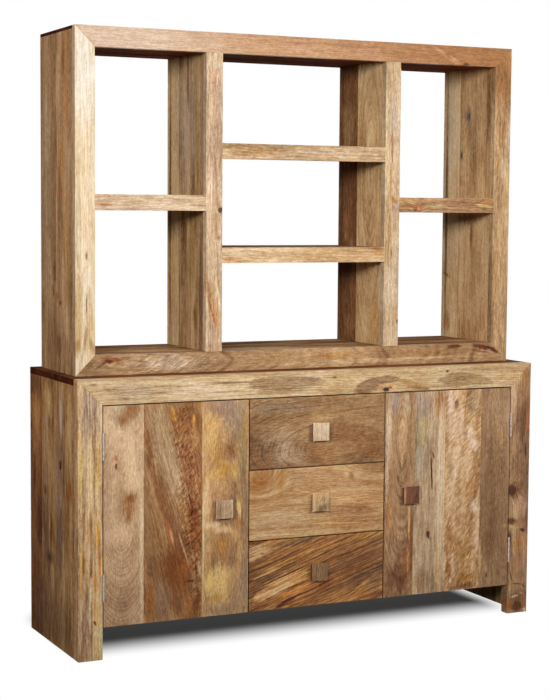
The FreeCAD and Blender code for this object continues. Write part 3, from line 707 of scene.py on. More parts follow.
dress(
    "base_right_leg", "mango_wood", **UPRIGHT_FRONT, seed=12, heart=(600, 300), tilt=0.03,
    tones=("#E3C495", "#C29B6D", "#9F7859", "#73553E"), clouds=0.6, lines=0.3,
    marks=(
        (672, 735, 30, 34, "#DEB382", 0.85, 0, 0.35, 0.7), (706, 740, 16, 34, "#AA7746", 0.9),
        (688, 752, 5, 18, "#DFB360"), (664, 655, 15, 80, "#DAB592", 0.92, 0, 0.4),
        (696, 690, 12, 34, "#AC7D53", 0.8), (702, 612, 22, 66, "#774F32", 0.95, -6, 0.5),
        (685, 590, 9, 40, "#90694D"), (717, 600, 5, 60, "#A96332", 0.95, 0, 0.4),
        (698, 548, 2.5, 40, "#5B3320", 0.95, 4, 0.2),
        (711, 500, 3.5, 28, "#572D1C", 0.97, 0, 0.35, 0.7), (672, 530, 14, 50, "#BF956C"),
        (690, 455, 34, 44, "#9A7353"), (700, 436, 20, 5, "#986B47", 0.8, 14),
        (676, 404, 16, 4, "#865A39", 0.85, -20, 0.5), (670, 382, 30, 40, "#976948"),
        (664, 382, 25, 22, "#572E19", 0.97, 0, 0.4, 0.7, 16),
        (684, 364, 14, 4, "#926344", 0.85, 24, 0.5), (694, 330, 26, 34, "#D7B086", 0.9, 0, 0.4),
        (702, 320, 2.5, 34, "#C2857C", 0.8, 0, 0.4),
        (664, 286, 24, 13, "#683923", 0.96, -10, 0.4, 0.7),
        (676, 268, 18, 5, "#DEC68D", 0.95, -10, 0.4, 0.6), (690, 274, 24, 14, "#C69363", 0.8),
        (705, 256, 9, 6, "#4F1D16", 0.97, -20, 0.3, 0.5), (658, 236, 9, 22, "#5D3928", 0.9),
        (692, 214, 26, 34, "#C48952", 0.9), (712, 196, 9, 46, "#D5A875"),
        (682, 150, 24, 34, "#BD8D64"), (666, 116, 3, 20, "#714D38", 0.92, 16, 0.3, 0.6),
        (690, 90, 20, 2.5, "#77513C", 0.92, -8, 0.3, 0.6),
        (712, 82, 9, 2.5, "#81563C", 0.9, -40, 0.3, 0.6), (690, 44, 40, 30, "#825C3B", 0.92),
        (680, 52, 16, 4, "#F2C798", 0.92, 10, 0.6, 0.7),
        (706, 60, 12, 3, "#D8A775", 0.88, -20, 0.5),
        (690, 20, 25, 17, "#62331C", 0.95, 0, 0.35, 0.7), (660, 26, 8, 20, "#BD6E34", 0.92),
        (712, 24, 9, 16, "#AB6F3E", 0.9), (716, 8, 8, 6, "#F7D68E"),
    ),
)
print("frame of the base:", len(made))

# %% [markdown]
# ### The doors
# Each door is glued up from planks of different widths and different trees, and that
# patchwork is the face of this piece, so the planks are modelled one by one: a cube is
# added at the plank's size and place, and its edges get the same soft bevel as those of
# the measured boards. The seams are where the photograph shows them.


# %% Lay up a door from planks
def block(name, low, high):
    """A cube primitive at its size and place, with its place in its mesh."""
    start_fresh()
    bpy.ops.mesh.primitive_cube_add(size=1, location=(low + high) / 2)
    piece = bpy.context.object
    piece.name = name
    piece.scale = high - low
    bpy.ops.object.transform_apply(location=True, rotation=True, scale=True)
    return piece


def plank(door, number, seams, wood):
    """One plank of a door between two seams, given in millimetres."""
    node = door + "_door_boards"
    low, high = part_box(node)
    low.x, high.x = seams[number] * MM, seams[number + 1] * MM
    piece = block(f"{door}_door_plank_{number + 1}", low, high)
    soften(piece)
    name = f"{door} door plank {number + 1}"
    piece.data.materials.append(mango(name, **UPRIGHT_FRONT, middle=low.y / MM, **wood))
    hand_over(piece, node)


LEFT_SEAMS = (-652, -535, -362, -219.8)
RIGHT_SEAMS = (219.8, 317.8, 424.8, 549.8, 652)
print("plank widths:", [round(b - a) for a, b in zip(LEFT_SEAMS, LEFT_SEAMS[1:])])

# %% Planks of the left door
LEFT_DOOR = (
    dict(
        seed=21, heart=(-600, 416), tilt=0.34, sway=8, lines=0.45, line_gap=4.1,
        line_zone=(-66, -96), streaks=0.15, tones=("#EACBA5", "#DBB68F", "#C49D77", "#A27D5F"),
        clouds=0.6, bands=0.3,
        marks=(
            (-592, 672, 64, 44, "#B39878", 0.8),
            (-578, 674, 22, 50, "#9C6B3F", 0.92, -40, 0.5, 0.9),
            (-596, 652, 8, 18, "#985F2E", 0.7, -40), (-568, 500, 27, 130, "#F2D0A4", 0.92, 4),
            (-640, 500, 13, 120, "#BD9A77", 0.7), (-604, 430, 20, 60, "#B38D68", 0.6),
            (-615, 552, 8, 12, "#B06225"), (-616, 531, 4, 9, "#6A311D", *KNOT, 8),
            (-575, 422, 27, 46, "#A36936", 0.8, -8, 0.6, 1.5, 6),
            (-572, 440, 17, 13, "#8E5A2A", 0.9), (-580, 398, 13, 34, "#9F6833", 0.8, -6),
            (-604, 340, 52, 30, "#F1C9A2", 0.7), (-542, 290, 7, 220, "#F6D8AE", 0.85, 0, 0.3),
            (-625, 110, 32, 26, "#C69E79", 0.7),
        ),
    ),
    dict(
        seed=27, heart=(-330, 560), tilt=0.05, lean=14, sway=26, lines=0.4, line_gap=8, streaks=0.3,
        curl=1.0, curl_size=(13, 5), curl_turn=40, curl_zone=(-396, 400, 38, 330, 6),
        tones=("#DBB280", "#B78C5D", "#94643B", "#63391F"),
        marks=(
            (-470, 560, 40, 150, "#B2936F", 0.8, 15, 0.4),
            (-516, 330, 18, 120, "#AE8C65", 0.75, 5, 0.4),
            (-440, 395, 16, 80, "#B2855C", 0.8, 15, 0.4),
            (-488, 155, 26, 60, "#A68262", 0.8, 0, 0.4), (-508, 650, 34, 56, "#AC8962", 0.8, 10),
            (-474, 620, 28, 100, "#BC9D73", 0.88, 15), (-446, 500, 26, 84, "#D6B48D", 0.85, 14),
            (-412, 380, 15, 84, "#C9975D", 0.75, 15),
            (-412, 640, 44, 70, "#935F30", 0.94, 14, 0.9, 0.7),
            (-392, 510, 40, 120, "#A36B43", 0.94, 9, 0.8, 0.7),
            (-383, 350, 25, 120, "#8B4E23", 0.92, 4, 0.9, 0.8),
            (-384, 596, 13, 50, "#BF8F58", 0.8, 0, 1.2), (-376, 470, 7, 50, "#C68F5C", 0.7, 0, 1.2),
            (-404, 520, 8, 60, "#93623C", 0.75, 10, 1.2),
            (-396, 410, 6, 50, "#652D10", 0.75, 10, 1.2),
            (-450, 668, 12, 24, "#C2883F", 0.92, 0, 0.9), (-440, 692, 15, 8, "#966B4E", 0.92),
            (-379, 686, 13, 22, "#A97C44"), (-386, 650, 7, 18, "#F0A946", 0.9),
            (-402, 678, 13, 26, "#83562F", 0.92, 0, 0.5), (-524, 600, 10, 17, "#8D5327", 0.92),
            (-520, 545, 13, 34, "#7E4E2E", 0.9, 0, 0.6, 1.1, 10),
            (-530, 645, 6, 56, "#AE7B50", 0.8), (-486, 430, 13, 96, "#905A34", 0.82, 16),
            (-464, 345, 7, 56, "#B87647", 0.85, 14), (-452, 322, 4, 26, "#F4B37F", 0.8, 12),
            (-512, 330, 18, 80, "#A17242", 0.7, 6), (-448, 245, 46, 62, "#84491C", 0.93, 10),
            (-424, 200, 32, 40, "#925625", 0.9), (-515, 150, 14, 66, "#AB6B35", 0.9),
            (-512, 240, 17, 46, "#885E3C", 0.82), (-476, 140, 25, 54, "#9A7659"),
            (-436, 130, 14, 46, "#8A5939"), (-404, 125, 16, 42, "#B57845", 0.88),
            (-374, 140, 9, 54, "#7C3C1B"), (-402, 236, 20, 16, "#AB6431", 0.8, 0, 1.2),
            (-380, 228, 4, 27, "#3D1B11", 0.95, 6, 0.4),
            (-398, 196, 18, 4, "#512816", 0.92, 0, 0.5),
            (-420, 296, 3, 60, "#E7B27F", 0.7, 18, 0.5),
        ),
    ),
    dict(
        seed=33, heart=(-300, 310), tilt=0.3, sway=12, lines=0.2, line_gap=6, streaks=0.2,
        tones=("#E8BF8A", "#D3A672", "#B68C60", "#8E6B4C"),
        marks=(
            (-295, 684, 64, 38, "#A7886F", 0.9), (-236, 560, 15, 150, "#8E7853", 0.8),
            (-232, 400, 14, 120, "#9E7E5C", 0.88), (-232, 180, 14, 120, "#9B8469", 0.88),
            (-296, 105, 68, 19, "#AC8D6C", 0.88), (-334, 600, 26, 70, "#CCA166", 0.96, 0, 0.8),
            (-338, 646, 17, 22, "#CBB277", 0.96), (-318, 555, 27, 42, "#BE8E50", 0.94),
            (-292, 507, 36, 22, "#CA994B", 0.94, -20), (-264, 500, 11, 27, "#D6AE6A", 0.95),
            (-276, 554, 23, 32, "#8E6137", 0.92), (-262, 602, 17, 32, "#856F4F", 0.8),
            (-347, 430, 13, 95, "#F3CB96", 0.92), (-324, 490, 32, 20, "#E0AD64", 0.8),
            (-246, 395, 7, 32, "#E8BA88", 0.96, 10), (-250, 350, 11, 12, "#C78D4F", 0.9),
            (-240, 372, 3, 28, "#694020", 0.9), (-330, 347, 32, 12, "#F7D4A5", 0.88),
            (-300, 334, 38, 12, "#F7CB98", 0.8), (-302, 284, 27, 36, "#C58A48", 0.92),
            (-262, 320, 13, 25, "#E0B176"), (-340, 260, 8, 54, "#E1B073", 0.7),
            (-305, 180, 50, 54, "#F2CB87", 0.96, 0, 0.8), (-338, 190, 15, 42, "#F7D585", 0.88),
            (-272, 175, 15, 36, "#D2A966", 0.88), (-320, 140, 22, 16, "#CC9F53", 0.88),
            (-358, 330, 3, 180, "#F7DBAF", 0.9, 0, 0.2),
            (-262, 650, 40, 46, "#A99075", 0.92, 0, 0.7),
            (-256, 150, 26, 60, "#B5916F", 0.9, 0, 0.7),
            (-336, 600, 18, 56, "#E1B471", 0.95, 0, 0.9, 0.7),
            (-250, 392, 7, 26, "#EECA89", 0.97, 8, 0.4, 0.6),
            (-232, 612, 4, 50, "#B88D3E", 0.85, 0, 0.7),
        ),
    ),
)
for number, wood in enumerate(LEFT_DOOR):
    plank("left", number, LEFT_SEAMS, wood)
print("left door planks:", len(LEFT_DOOR))

# %% Planks of the right door
RIGHT_DOOR = (
    dict(
        seed=41, heart=(277, 560), tilt=0.2, sway=7, lines=0.45, line_gap=4.5, streaks=0.3,
        tones=("#DEB98C", "#C1996F", "#A17B59", "#74543E"), clouds=0.6,
        marks=(
            (231, 590, 12, 105, "#E9CFAE", 0.94, 0, 0.4), (226, 450, 7, 95, "#F1CCA1", 0.75),
            (252, 668, 15, 36, "#B19C8C", 0.88), (290, 660, 13, 44, "#CBB590", 0.9),
            (277, 494, 3.5, 20, "#E6C08C", 0.85, 0, 0.3), (313, 560, 5, 95, "#BF9661", 0.8),
            (306, 600, 2.5, 90, "#815A38", 0.6, 0, 0.3),
            (264, 440, 2.5, 17, "#6E452C", 0.85, 12, 0.4), (272, 420, 8, 4, "#794F31", 0.8, -30),
            (236, 330, 14, 70, "#DAA26B", 0.75), (262, 150, 44, 74, "#825437", 0.9, 0, 0.9),
            (244, 205, 14, 40, "#C9A47F", 0.7), (290, 200, 12, 54, "#9A5E32", 0.85, 0, 1.0),
            (280, 120, 10, 30, "#713E1F", 0.8, 0, 1.0), (312, 230, 5, 130, "#965424", 0.94, 0, 0.5),
            (304, 310, 3.5, 60, "#F5C481", 0.88), (301, 190, 3, 44, "#E09E5E", 0.8),
            (228, 250, 8, 64, "#CCA074", 0.7),
        ),
    ),
    dict(
        seed=47, heart=(180, 300), sway=12, lines=0.2,
        tones=("#E7C69F", "#CCAD88", "#AC9071", "#866C50"), clouds=0.6,
        marks=(
            (350, 655, 30, 54, "#AB9580", 0.9), (348, 575, 22, 50, "#CAB486"),
            (338, 470, 16, 80, "#B6A484", 0.7), (345, 515, 10, 26, "#BBAB95", 0.6),
            (402, 672, 14, 34, "#A16E33", 0.92, 0, 0.8), (414, 660, 9, 40, "#B38149", 0.9, 0, 0.8),
            (398, 632, 7, 20, "#B17E37", 0.85, 0, 0.8),
            (410, 400, 15, 260, "#E8CCA8", 0.95, 0, 0.25, 0.6),
            (336, 500, 9, 50, "#B3A58C", 0.75, 0, 0.5), (352, 200, 24, 60, "#D1B593", 0.7, 0, 0.5),
            (386, 345, 14, 32, "#CAAE8C", 0.8), (379, 450, 3, 58, "#3A1F14", 0.98, 3, 0.15, 0.3),
            (384, 505, 3, 10, "#68442D", 0.9, 20), (366, 272, 13, 18, "#B17242"),
            (369, 268, 6, 12, "#3F1912", *KNOT, 8), (345, 250, 21, 42, "#DEBD99", 0.7),
            (350, 130, 32, 38, "#AA8661", 0.88), (402, 170, 10, 74, "#EABE85", 0.88),
            (330, 350, 9, 54, "#C49E7E", 0.7), (423, 400, 2.5, 290, "#F5D8AA", 0.9, 0, 0.15),
        ),
    ),
    dict(
        seed=53, heart=(360, 500), tilt=0.03, lean=-8, lines=0.1, streaks=0.2, fibres=0.3,
        curl=0.68, curl_turn=50, curl_size=(20, 7), clouds=0.6,
        tones=("#F4D5AF", "#E0B88B", "#C99B6C", "#A0754A"),
        marks=(
            (444, 655, 13, 66, "#E7C9AE", 0.9, 0, 0.8), (482, 622, 9, 34, "#EACAAF", 0.88, 0, 0.8),
            (456, 580, 28, 40, "#E9C7A7", 0.7), (508, 566, 18, 34, "#F5DABC", 0.85, 0, 0.7),
            (526, 530, 17, 20, "#F4D8BD", 0.9), (465, 655, 10, 17, "#80542F", 0.88, 0, 1.1),
            (467, 625, 7, 20, "#DEB084", 0.8, 0, 1.1), (504, 612, 15, 26, "#D5AD75", 0.85, 0, 1.1),
            (525, 655, 26, 44, "#B59672"), (542, 570, 8, 50, "#CFA872", 0.8, 0, 1.0),
            (444, 465, 12, 44, "#AC8B5D", 0.6), (505, 400, 34, 30, "#CE975F", 0.7, 0, 1.0),
            (468, 380, 30, 60, "#C49D6F", 0.5), (532, 342, 16, 26, "#F7DEBD", 0.85, 0, 0.5),
            (540, 240, 8, 48, "#F6D4B2"), (444, 240, 18, 74, "#AE7538", 0.75),
            (495, 205, 38, 44, "#B17E3F", 0.7, 0, 1.0), (468, 165, 9, 34, "#A3794A", 0.6),
            (440, 150, 14, 34, "#99581E", 0.85, 0, 1.1),
            (505, 125, 46, 24, "#AD7328", 0.75, 0, 1.2),
            (490, 100, 60, 11, "#6E421C", 0.75, 0, 1.2), (457, 112, 5, 16, "#C7874C", 0.85, 0, 1.0),
            (512, 190, 3, 14, "#F7D48A", 0.85, -24), (520, 186, 3, 12, "#F7C87D", 0.8, -24),
        ),
    ),
    dict(
        seed=59, heart=(760, 300), sway=10, lines=0.1, streaks=0.25, curl=0.12, curl_turn=10,
        curl_size=(30, 9), tones=("#C49F7D", "#AA8562", "#906C4A", "#6D4C33"), clouds=0.6,
        marks=(
            (572, 150, 10, 42, "#B38F65", 0.96, 12, 0.5),
            (588, 112, 10, 25, "#B38D63", 0.94, 0, 0.5), (577, 126, 4, 8, "#7A4C2C", *KNOT, 8),
            (553, 190, 4, 64, "#E9BD83", 0.88), (622, 555, 6, 36, "#D39D66", 0.88),
            (606, 480, 13, 23, "#9B764B", 0.8, 0, 0.6, 1.1, 8), (604, 450, 8, 8, "#AE7844", 0.75),
            (612, 640, 30, 42, "#AE8F68", 0.6), (640, 275, 8, 6, "#D4A975", 0.8),
            (600, 240, 42, 42, "#916A48", 0.6),
        ),
    ),
)
for number, wood in enumerate(RIGHT_DOOR):
    plank("right", number, RIGHT_SEAMS, wood)
print("right door planks:", len(RIGHT_DOOR))

# %% [markdown]
# ### The drawer fronts
# Each front is one wide board with its grain level. The top one is grey-brown with pale
# arcs, the middle one is honey coloured with its grain parting round two buried knots, and
# the bottom one is striped at a slant in dark brown, orange and cream.

# %% Drawer fronts
dress(
    "drawer_1_front", "mango_boards", **LEVEL_FRONT, seed=61, heart=(60, 545), tilt=0.42, sway=12,
    tones=("#C7A274", "#AC865B", "#966F48", "#785439"), lines=0.6, line_gap=4.5,
    line_zone=(-50, -110), streaks=0.2, curl=0.2,
    marks=(
        (-120, 668, 105, 27, "#9E8568", 0.8), (-60, 668, 130, 3, "#7B5638", 0.75, 2, 0.5),
        (-120, 680, 90, 2.5, "#826040", 0.6, 1, 0.5), (-95, 646, 90, 7, "#997843", 0.7, -3),
        (60, 668, 110, 7, "#997950", 0.75, 5), (130, 684, 90, 6, "#97754C", 0.7, 4),
        (120, 655, 110, 3.5, "#7B5232", 0.8, 5, 0.5), (60, 684, 120, 2.5, "#86603E", 0.6, 4, 0.5),
        (-110, 562, 34, 64, "#CEB391", 0.7, -6, 0.4, 1.6),
        (-70, 525, 30, 30, "#C5A78C", 0.6, 20, 0.4, 1.6), (-160, 585, 34, 28, "#AC8D6C", 0.6),
        (-200, 530, 22, 42, "#8C6441", 0.8), (-170, 504, 42, 7, "#956944", 0.8, -20),
        (20, 535, 52, 36, "#B0794C", 0.6), (110, 575, 95, 50, "#A37247", 0.6),
        (180, 530, 40, 38, "#8E5E37", 0.7),
    ),
)
dress(
    "drawer_2_front", "mango_boards", **LEVEL_FRONT, seed=67, heart=(0, -200), sway=14,
    tones=("#E7C296", "#D3AB77", "#BB8C5D", "#956741"), lines=0.3, line_gap=8, clouds=0.5,
    streaks=0.35,
    marks=(
        (-190, 460, 48, 34, "#A86C36", 0.94, 0, 0.6, 1.1, 60),
        (-118, 462, 14, 32, "#B98340", 0.8, -10), (-60, 466, 40, 24, "#BF976F", 0.8),
        (205, 480, 82, 28, "#A87F54", 0.85, 0, 0.6, 1.1, 36), (108, 462, 9, 14, "#995B2A", 0.7, 20),
        (60, 450, 120, 17, "#D2A478", 0.8, -16, 0.4), (130, 396, 100, 16, "#DDAB75", 0.75, -8, 0.4),
        (-110, 350, 105, 28, "#D8B589"), (-150, 404, 62, 4, "#BA8552", 0.75, 14, 0.5),
        (80, 372, 135, 3, "#A87248", 0.8, -7, 0.5), (150, 352, 74, 10, "#A37046", 0.75, -6),
        (60, 326, 155, 3.5, "#F6BD7D", 0.75, -3, 0.5), (100, 312, 120, 4, "#C28D58", 0.75, -2),
        (-150, 310, 62, 8, "#EDC99C", 0.75), (-20, 420, 90, 3, "#AF8359", 0.8, 12, 0.5),
        (-100, 384, 100, 3, "#BB8E64", 0.75, 8, 0.5), (40, 404, 130, 3, "#F1BA83", 0.8, -14, 0.5),
        (-60, 330, 130, 2.5, "#C29265", 0.7, 2, 0.5),
    ),
)
dress(
    "drawer_3_front", "mango_boards", **LEVEL_FRONT, seed=71, heart=(-300, -60), tilt=0.04, lean=18,
    tones=("#EEBB71", "#C78F53", "#966940", "#604027"), clouds=0.6, bands=0.4, streaks=0.6,
    lines=0.95, line_gap=8.5,
    marks=(
        (-70, 280, 100, 9, "#836443", 0.9, 4), (-190, 264, 34, 24, "#D9B080", 0.97, 0, 0.7, 0.6),
        (-200, 240, 26, 11, "#D3A975", 0.92, 0, 0.8), (-200, 285, 14, 3.5, "#8A5B3C"),
        (-176, 255, 8, 3.5, "#845736", 0.9), (-205, 250, 10, 3, "#986A40", 0.8),
        (160, 282, 46, 8, "#CD9E52", 0.85, 4), (185, 262, 34, 22, "#826142", 0.8),
        (130, 205, 84, 44, "#926442", 0.75, 14), (100, 185, 34, 20, "#7F4E27", 0.75, 30),
        (-112, 160, 96, 25, "#EFB473", 0.97, 20, 0.6, 0.6),
        (-140, 146, 62, 14, "#F7CC91", 0.95, 16, 0.5, 0.6),
        (-70, 138, 66, 13, "#EDA258", 0.92, 18, 0.7), (-30, 168, 34, 10, "#C7864D", 0.85, 20),
        (-110, 184, 90, 2.5, "#654025", 0.9, 19, 0.4, 0.5),
        (-80, 152, 60, 2, "#835230", 0.85, 17, 0.4, 0.5),
        (-60, 124, 70, 2.5, "#603521", 0.92, 16, 0.4, 0.5),
        (-100, 108, 54, 6, "#4F210D", 0.97, 22, 0.6, 0.5),
        (-76, 100, 26, 5, "#996137", 0.95, 0, 0.6, 0.5),
        (-30, 190, 60, 3, "#F6D789", 0.9, 17, 0.4, 0.5),
        (-160, 196, 52, 3, "#F6D390", 0.85, 17, 0.4, 0.5), (-185, 100, 40, 9, "#7C4624", 0.92, 12),
        (-40, 104, 30, 10, "#BF8344", 0.8, 14), (-208, 165, 8, 44, "#99633A"),
        (25, 150, 46, 18, "#905029", 0.75, 20), (150, 138, 64, 4, "#EBB56C", 0.9, 30),
        (128, 112, 30, 4, "#E9B266", 0.88, 34), (160, 120, 40, 3, "#DCA766", 0.8, 32),
        (190, 140, 26, 40, "#916C50", 0.7), (-60, 240, 140, 4, "#E7A85A", 0.85, 17),
        (-60, 262, 120, 3.5, "#D69A54", 0.8, 15), (60, 262, 120, 4, "#C88D52", 0.8, 16),
        (-120, 214, 90, 5, "#C89651", 0.8, 17),
    ),
)
print("drawer fronts made")

# %% [markdown]
# ### The knobs
# The five knobs are square blocks whose sides lean in behind the face, which leaves a dark
# line of shadow on one side; their sides are also painted a dark shade. One is modelled: a
# cube at its size, its back face drawn smaller, its edges softened. The others are copies
# with a mesh of their own, moved to where their own node is. Each is an offcut of another
# board, so each has its own wood.

# %% Knobs
KNOB_EDGE = 0.8 * MM
KNOB_SHARP, KNOB_SMOOTH = radians(60), radians(35)  # edges softened past, shaded round under
KNOB_BACK = 42 / 53  # the width of the back as a part of the face
HEART_LEFT_MM = 60  # how far to the left of a knob the heart of its log lies
# the tones, seed and marks of each knob
KNOB_WOODS = {
    "drawer_1_knob": (("#E7D0B2", "#DFC4A1", "#D5B590", "#C4A079"), 81, ()),
    "drawer_2_knob": (
        ("#F5DBB3", "#E9CA9E", "#D9B686", "#C69F6E"), 83,
        ((6, 376, 26, 13, "#8A6E54", 0.92, 12), (10, 402, 9, 8, "#B07C50", 0.7)),
    ),
    "drawer_3_knob": (("#B89367", "#A37D57", "#8F6B4A", "#795739"), 85, ()),
    "left_door_knob": (("#F3D7B5", "#D4B593", "#B69777", "#98785C"), 87, (
        (-284, 394, 6, 24, "#C4A47E", 0.7),
    )),
    "right_door_knob": (("#916145", "#784B34", "#68422D", "#533120"), 89, (
        (279, 394, 5, 32, "#C89A70", 0.9),
    )),
}


def first_knob(node):
    """Model the knob once, in the place of its node."""
    low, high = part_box(node)
    piece = block("dressed_" + node, low, high)
    bpy.ops.object.mode_set(mode="EDIT")
    bpy.ops.mesh.select_all(action="DESELECT")
    bpy.ops.object.mode_set(mode="OBJECT")
    for corner in piece.data.vertices:
        corner.select = corner.co.y > (low.y + high.y) / 2
    bpy.ops.object.mode_set(mode="EDIT")
    bpy.ops.transform.resize(value=(KNOB_BACK, 1, KNOB_BACK), center_override=(low + high) / 2)
    bpy.ops.object.mode_set(mode="OBJECT")
    edge = piece.modifiers.new("softened edges", "BEVEL")
    edge.width, edge.segments, edge.angle_limit = KNOB_EDGE, 3, KNOB_SHARP
    bpy.ops.object.modifier_apply(modifier=edge.name)
    bpy.ops.object.shade_smooth_by_angle(angle=KNOB_SMOOTH)
    print("knob size:", [round(v / MM, 1) for v in piece.dimensions])
    return piece


pattern = first_knob("drawer_1_knob")
pattern_middle = sum(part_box("drawer_1_knob"), Vector()) / 2
for node, (tones, seed, marks) in KNOB_WOODS.items():
    start_fresh()
    piece = pattern
    if node != "drawer_1_knob":
        piece = bpy.data.objects.new("dressed_" + node, pattern.data.copy())
        bpy.context.scene.collection.objects.link(piece)
        piece.location = sum(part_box(node), Vector()) / 2 - pattern_middle
        piece.select_set(True)
        bpy.context.view_layer.objects.active = piece
        bpy.ops.object.transform_apply(location=True, rotation=True, scale=True)
    piece.data.materials.clear()
    low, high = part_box(node)
    # the dark colour on the knob's sides is painted shade
    wood = wood_for(
        node, **UPRIGHT_FRONT, seed=seed, heart=(low.x / MM - HEART_LEFT_MM, low.z / MM),
        tones=tones, marks=marks, lines=0.1, ends="X", end_colour="#4A2E1E",
    )
    piece.data.materials.append(wood)
    hand_over(piece, node)
print("knobs:", len(KNOB_WOODS))

# %% [markdown]
# ### The sides, top and bottom of the base
# The side is glued up from four boards, reddish brown ones behind, and its left face lies
# in the half shade. The top board is the reddest wood of the piece: its end grain shows as
# a dark strip on the left, and its front lip as a thin dark line under the hutch. These
# boards are sanded and hardly lacquered, so they have next to no sheen.

# %% Boards of the base
DULL = dict(gloss=0.02, roughness=0.86)
SIDE_TONES = ("#F7DBA0", "#E2B17B", "#BB8A56", "#895F3C")
SHADE_TONES = ("#C4A078", "#AB8660", "#92704C", "#765438")
TOP_TONES = ("#9C6844", "#835235", "#6C402A", "#562F20")
dress(
    "base_left_side", "mango_boards", **UPRIGHT_SIDE, seed=101, heart=(-420, 300), tilt=0.03,
    tones=SIDE_TONES, lines=0.3, seams=((-92, 0.12), (2, -0.08), (114, 0.5)), **DULL,
    marks=(
        (-45, 420, 46, 330, "#B99479", 0.7, 0, 0.3), (60, 180, 52, 170, "#A87F60", 0.7, 0, 0.4),
        (70, 470, 40, 170, "#BA906D", 0.6, 0, 0.4), (165, 560, 44, 190, "#D08F62", 0.7, 0, 0.4),
        (165, 240, 48, 230, "#A96E4C", 0.75, 0, 0.4), (165, 60, 44, 70, "#855A46", 0.7, 0, 0.4),
        (110, 90, 20, 120, "#7B614E", 0.7, 0, 0.5), (-135, 620, 34, 130, "#F7CE98", 0.6),
        (-128, 455, 26, 34, "#B0672F", 0.9, 0, 0.6, 1.1, 6), (-146, 330, 22, 130, "#F7BD89", 0.6),
        (-60, 660, 16, 74, "#EECEB3", 0.8), (-55, 520, 10, 15, "#613F2C", *KNOT, 10),
        (-45, 300, 36, 120, "#82604E", 0.6), (55, 690, 40, 60, "#F7CB8A", 0.8),
        (30, 560, 14, 120, "#D0A06E", 0.7), (85, 632, 18, 14, "#C5A189"),
        (76, 480, 6, 70, "#C8AD9A", 0.85, -8), (80, 430, 12, 16, "#6B4737", 0.8),
        (30, 325, 11, 60, "#813F15"), (70, 300, 22, 80, "#9C7D66", 0.6),
        (40, 245, 40, 22, "#5E3C2A", 0.7), (160, 640, 44, 90, "#D99A62", 0.8),
        (170, 730, 46, 26, "#8D5F3E", 0.8), (135, 330, 26, 90, "#673A2D"),
        (182, 470, 16, 60, "#7E3E30"), (150, 130, 50, 80, "#895F46", 0.6),
        # a broad darker band across the whole bottom of the side: painted shade towards the floor
        (0, 70, 220, 90, "#8B6956", 0.55),
    ),
)
dress(
    "base_right_side", "mango_boards", **UPRIGHT_SIDE, seed=104, heart=(-420, 300),
    tones=("#D2B284", "#B8946A", "#9A764C", "#785434"), lines=0.3, seams=((-60, 0.15), (70, -0.2)),
    **DULL, marks=((20, 480, 14, 30, "#6A4022", *KNOT, 12), (150, 250, 20, 120, "#D0B084", 0.7)),
)
dress(
    "base_top_board", "mango_boards", **LYING, seed=107, heart=(-900, -500), tones=TOP_TONES,
    seams=((-40, 0.12), (95, -0.15)), end_colour="#8A5236", **DULL,
    marks=((-300, 150, 260, 12, "#5E3826", 0.7), (420, -120, 160, 10, "#B07C50", 0.6)),
)
for node, seed in (
    ("base_bottom_board", 110),
    ("left_cupboard_shelf", 112),
    ("right_cupboard_shelf", 114),
):
    dress(
        node, "mango_boards", **LYING, seed=seed, heart=(-900, -500), tones=SHADE_TONES,
        seams=((-30, 0.2), (100, -0.15)), **DULL,
    )
for node, seed in (("base_left_partition", 116), ("base_right_partition", 118)):
    dress(
        node, "mango_boards", **UPRIGHT_SIDE, seed=seed, heart=(-420, 300), tones=SHADE_TONES,
        seams=((-20, 0.2),), **DULL,
    )
print("boards of the base:", len([n for n in made if n.startswith("base")]))
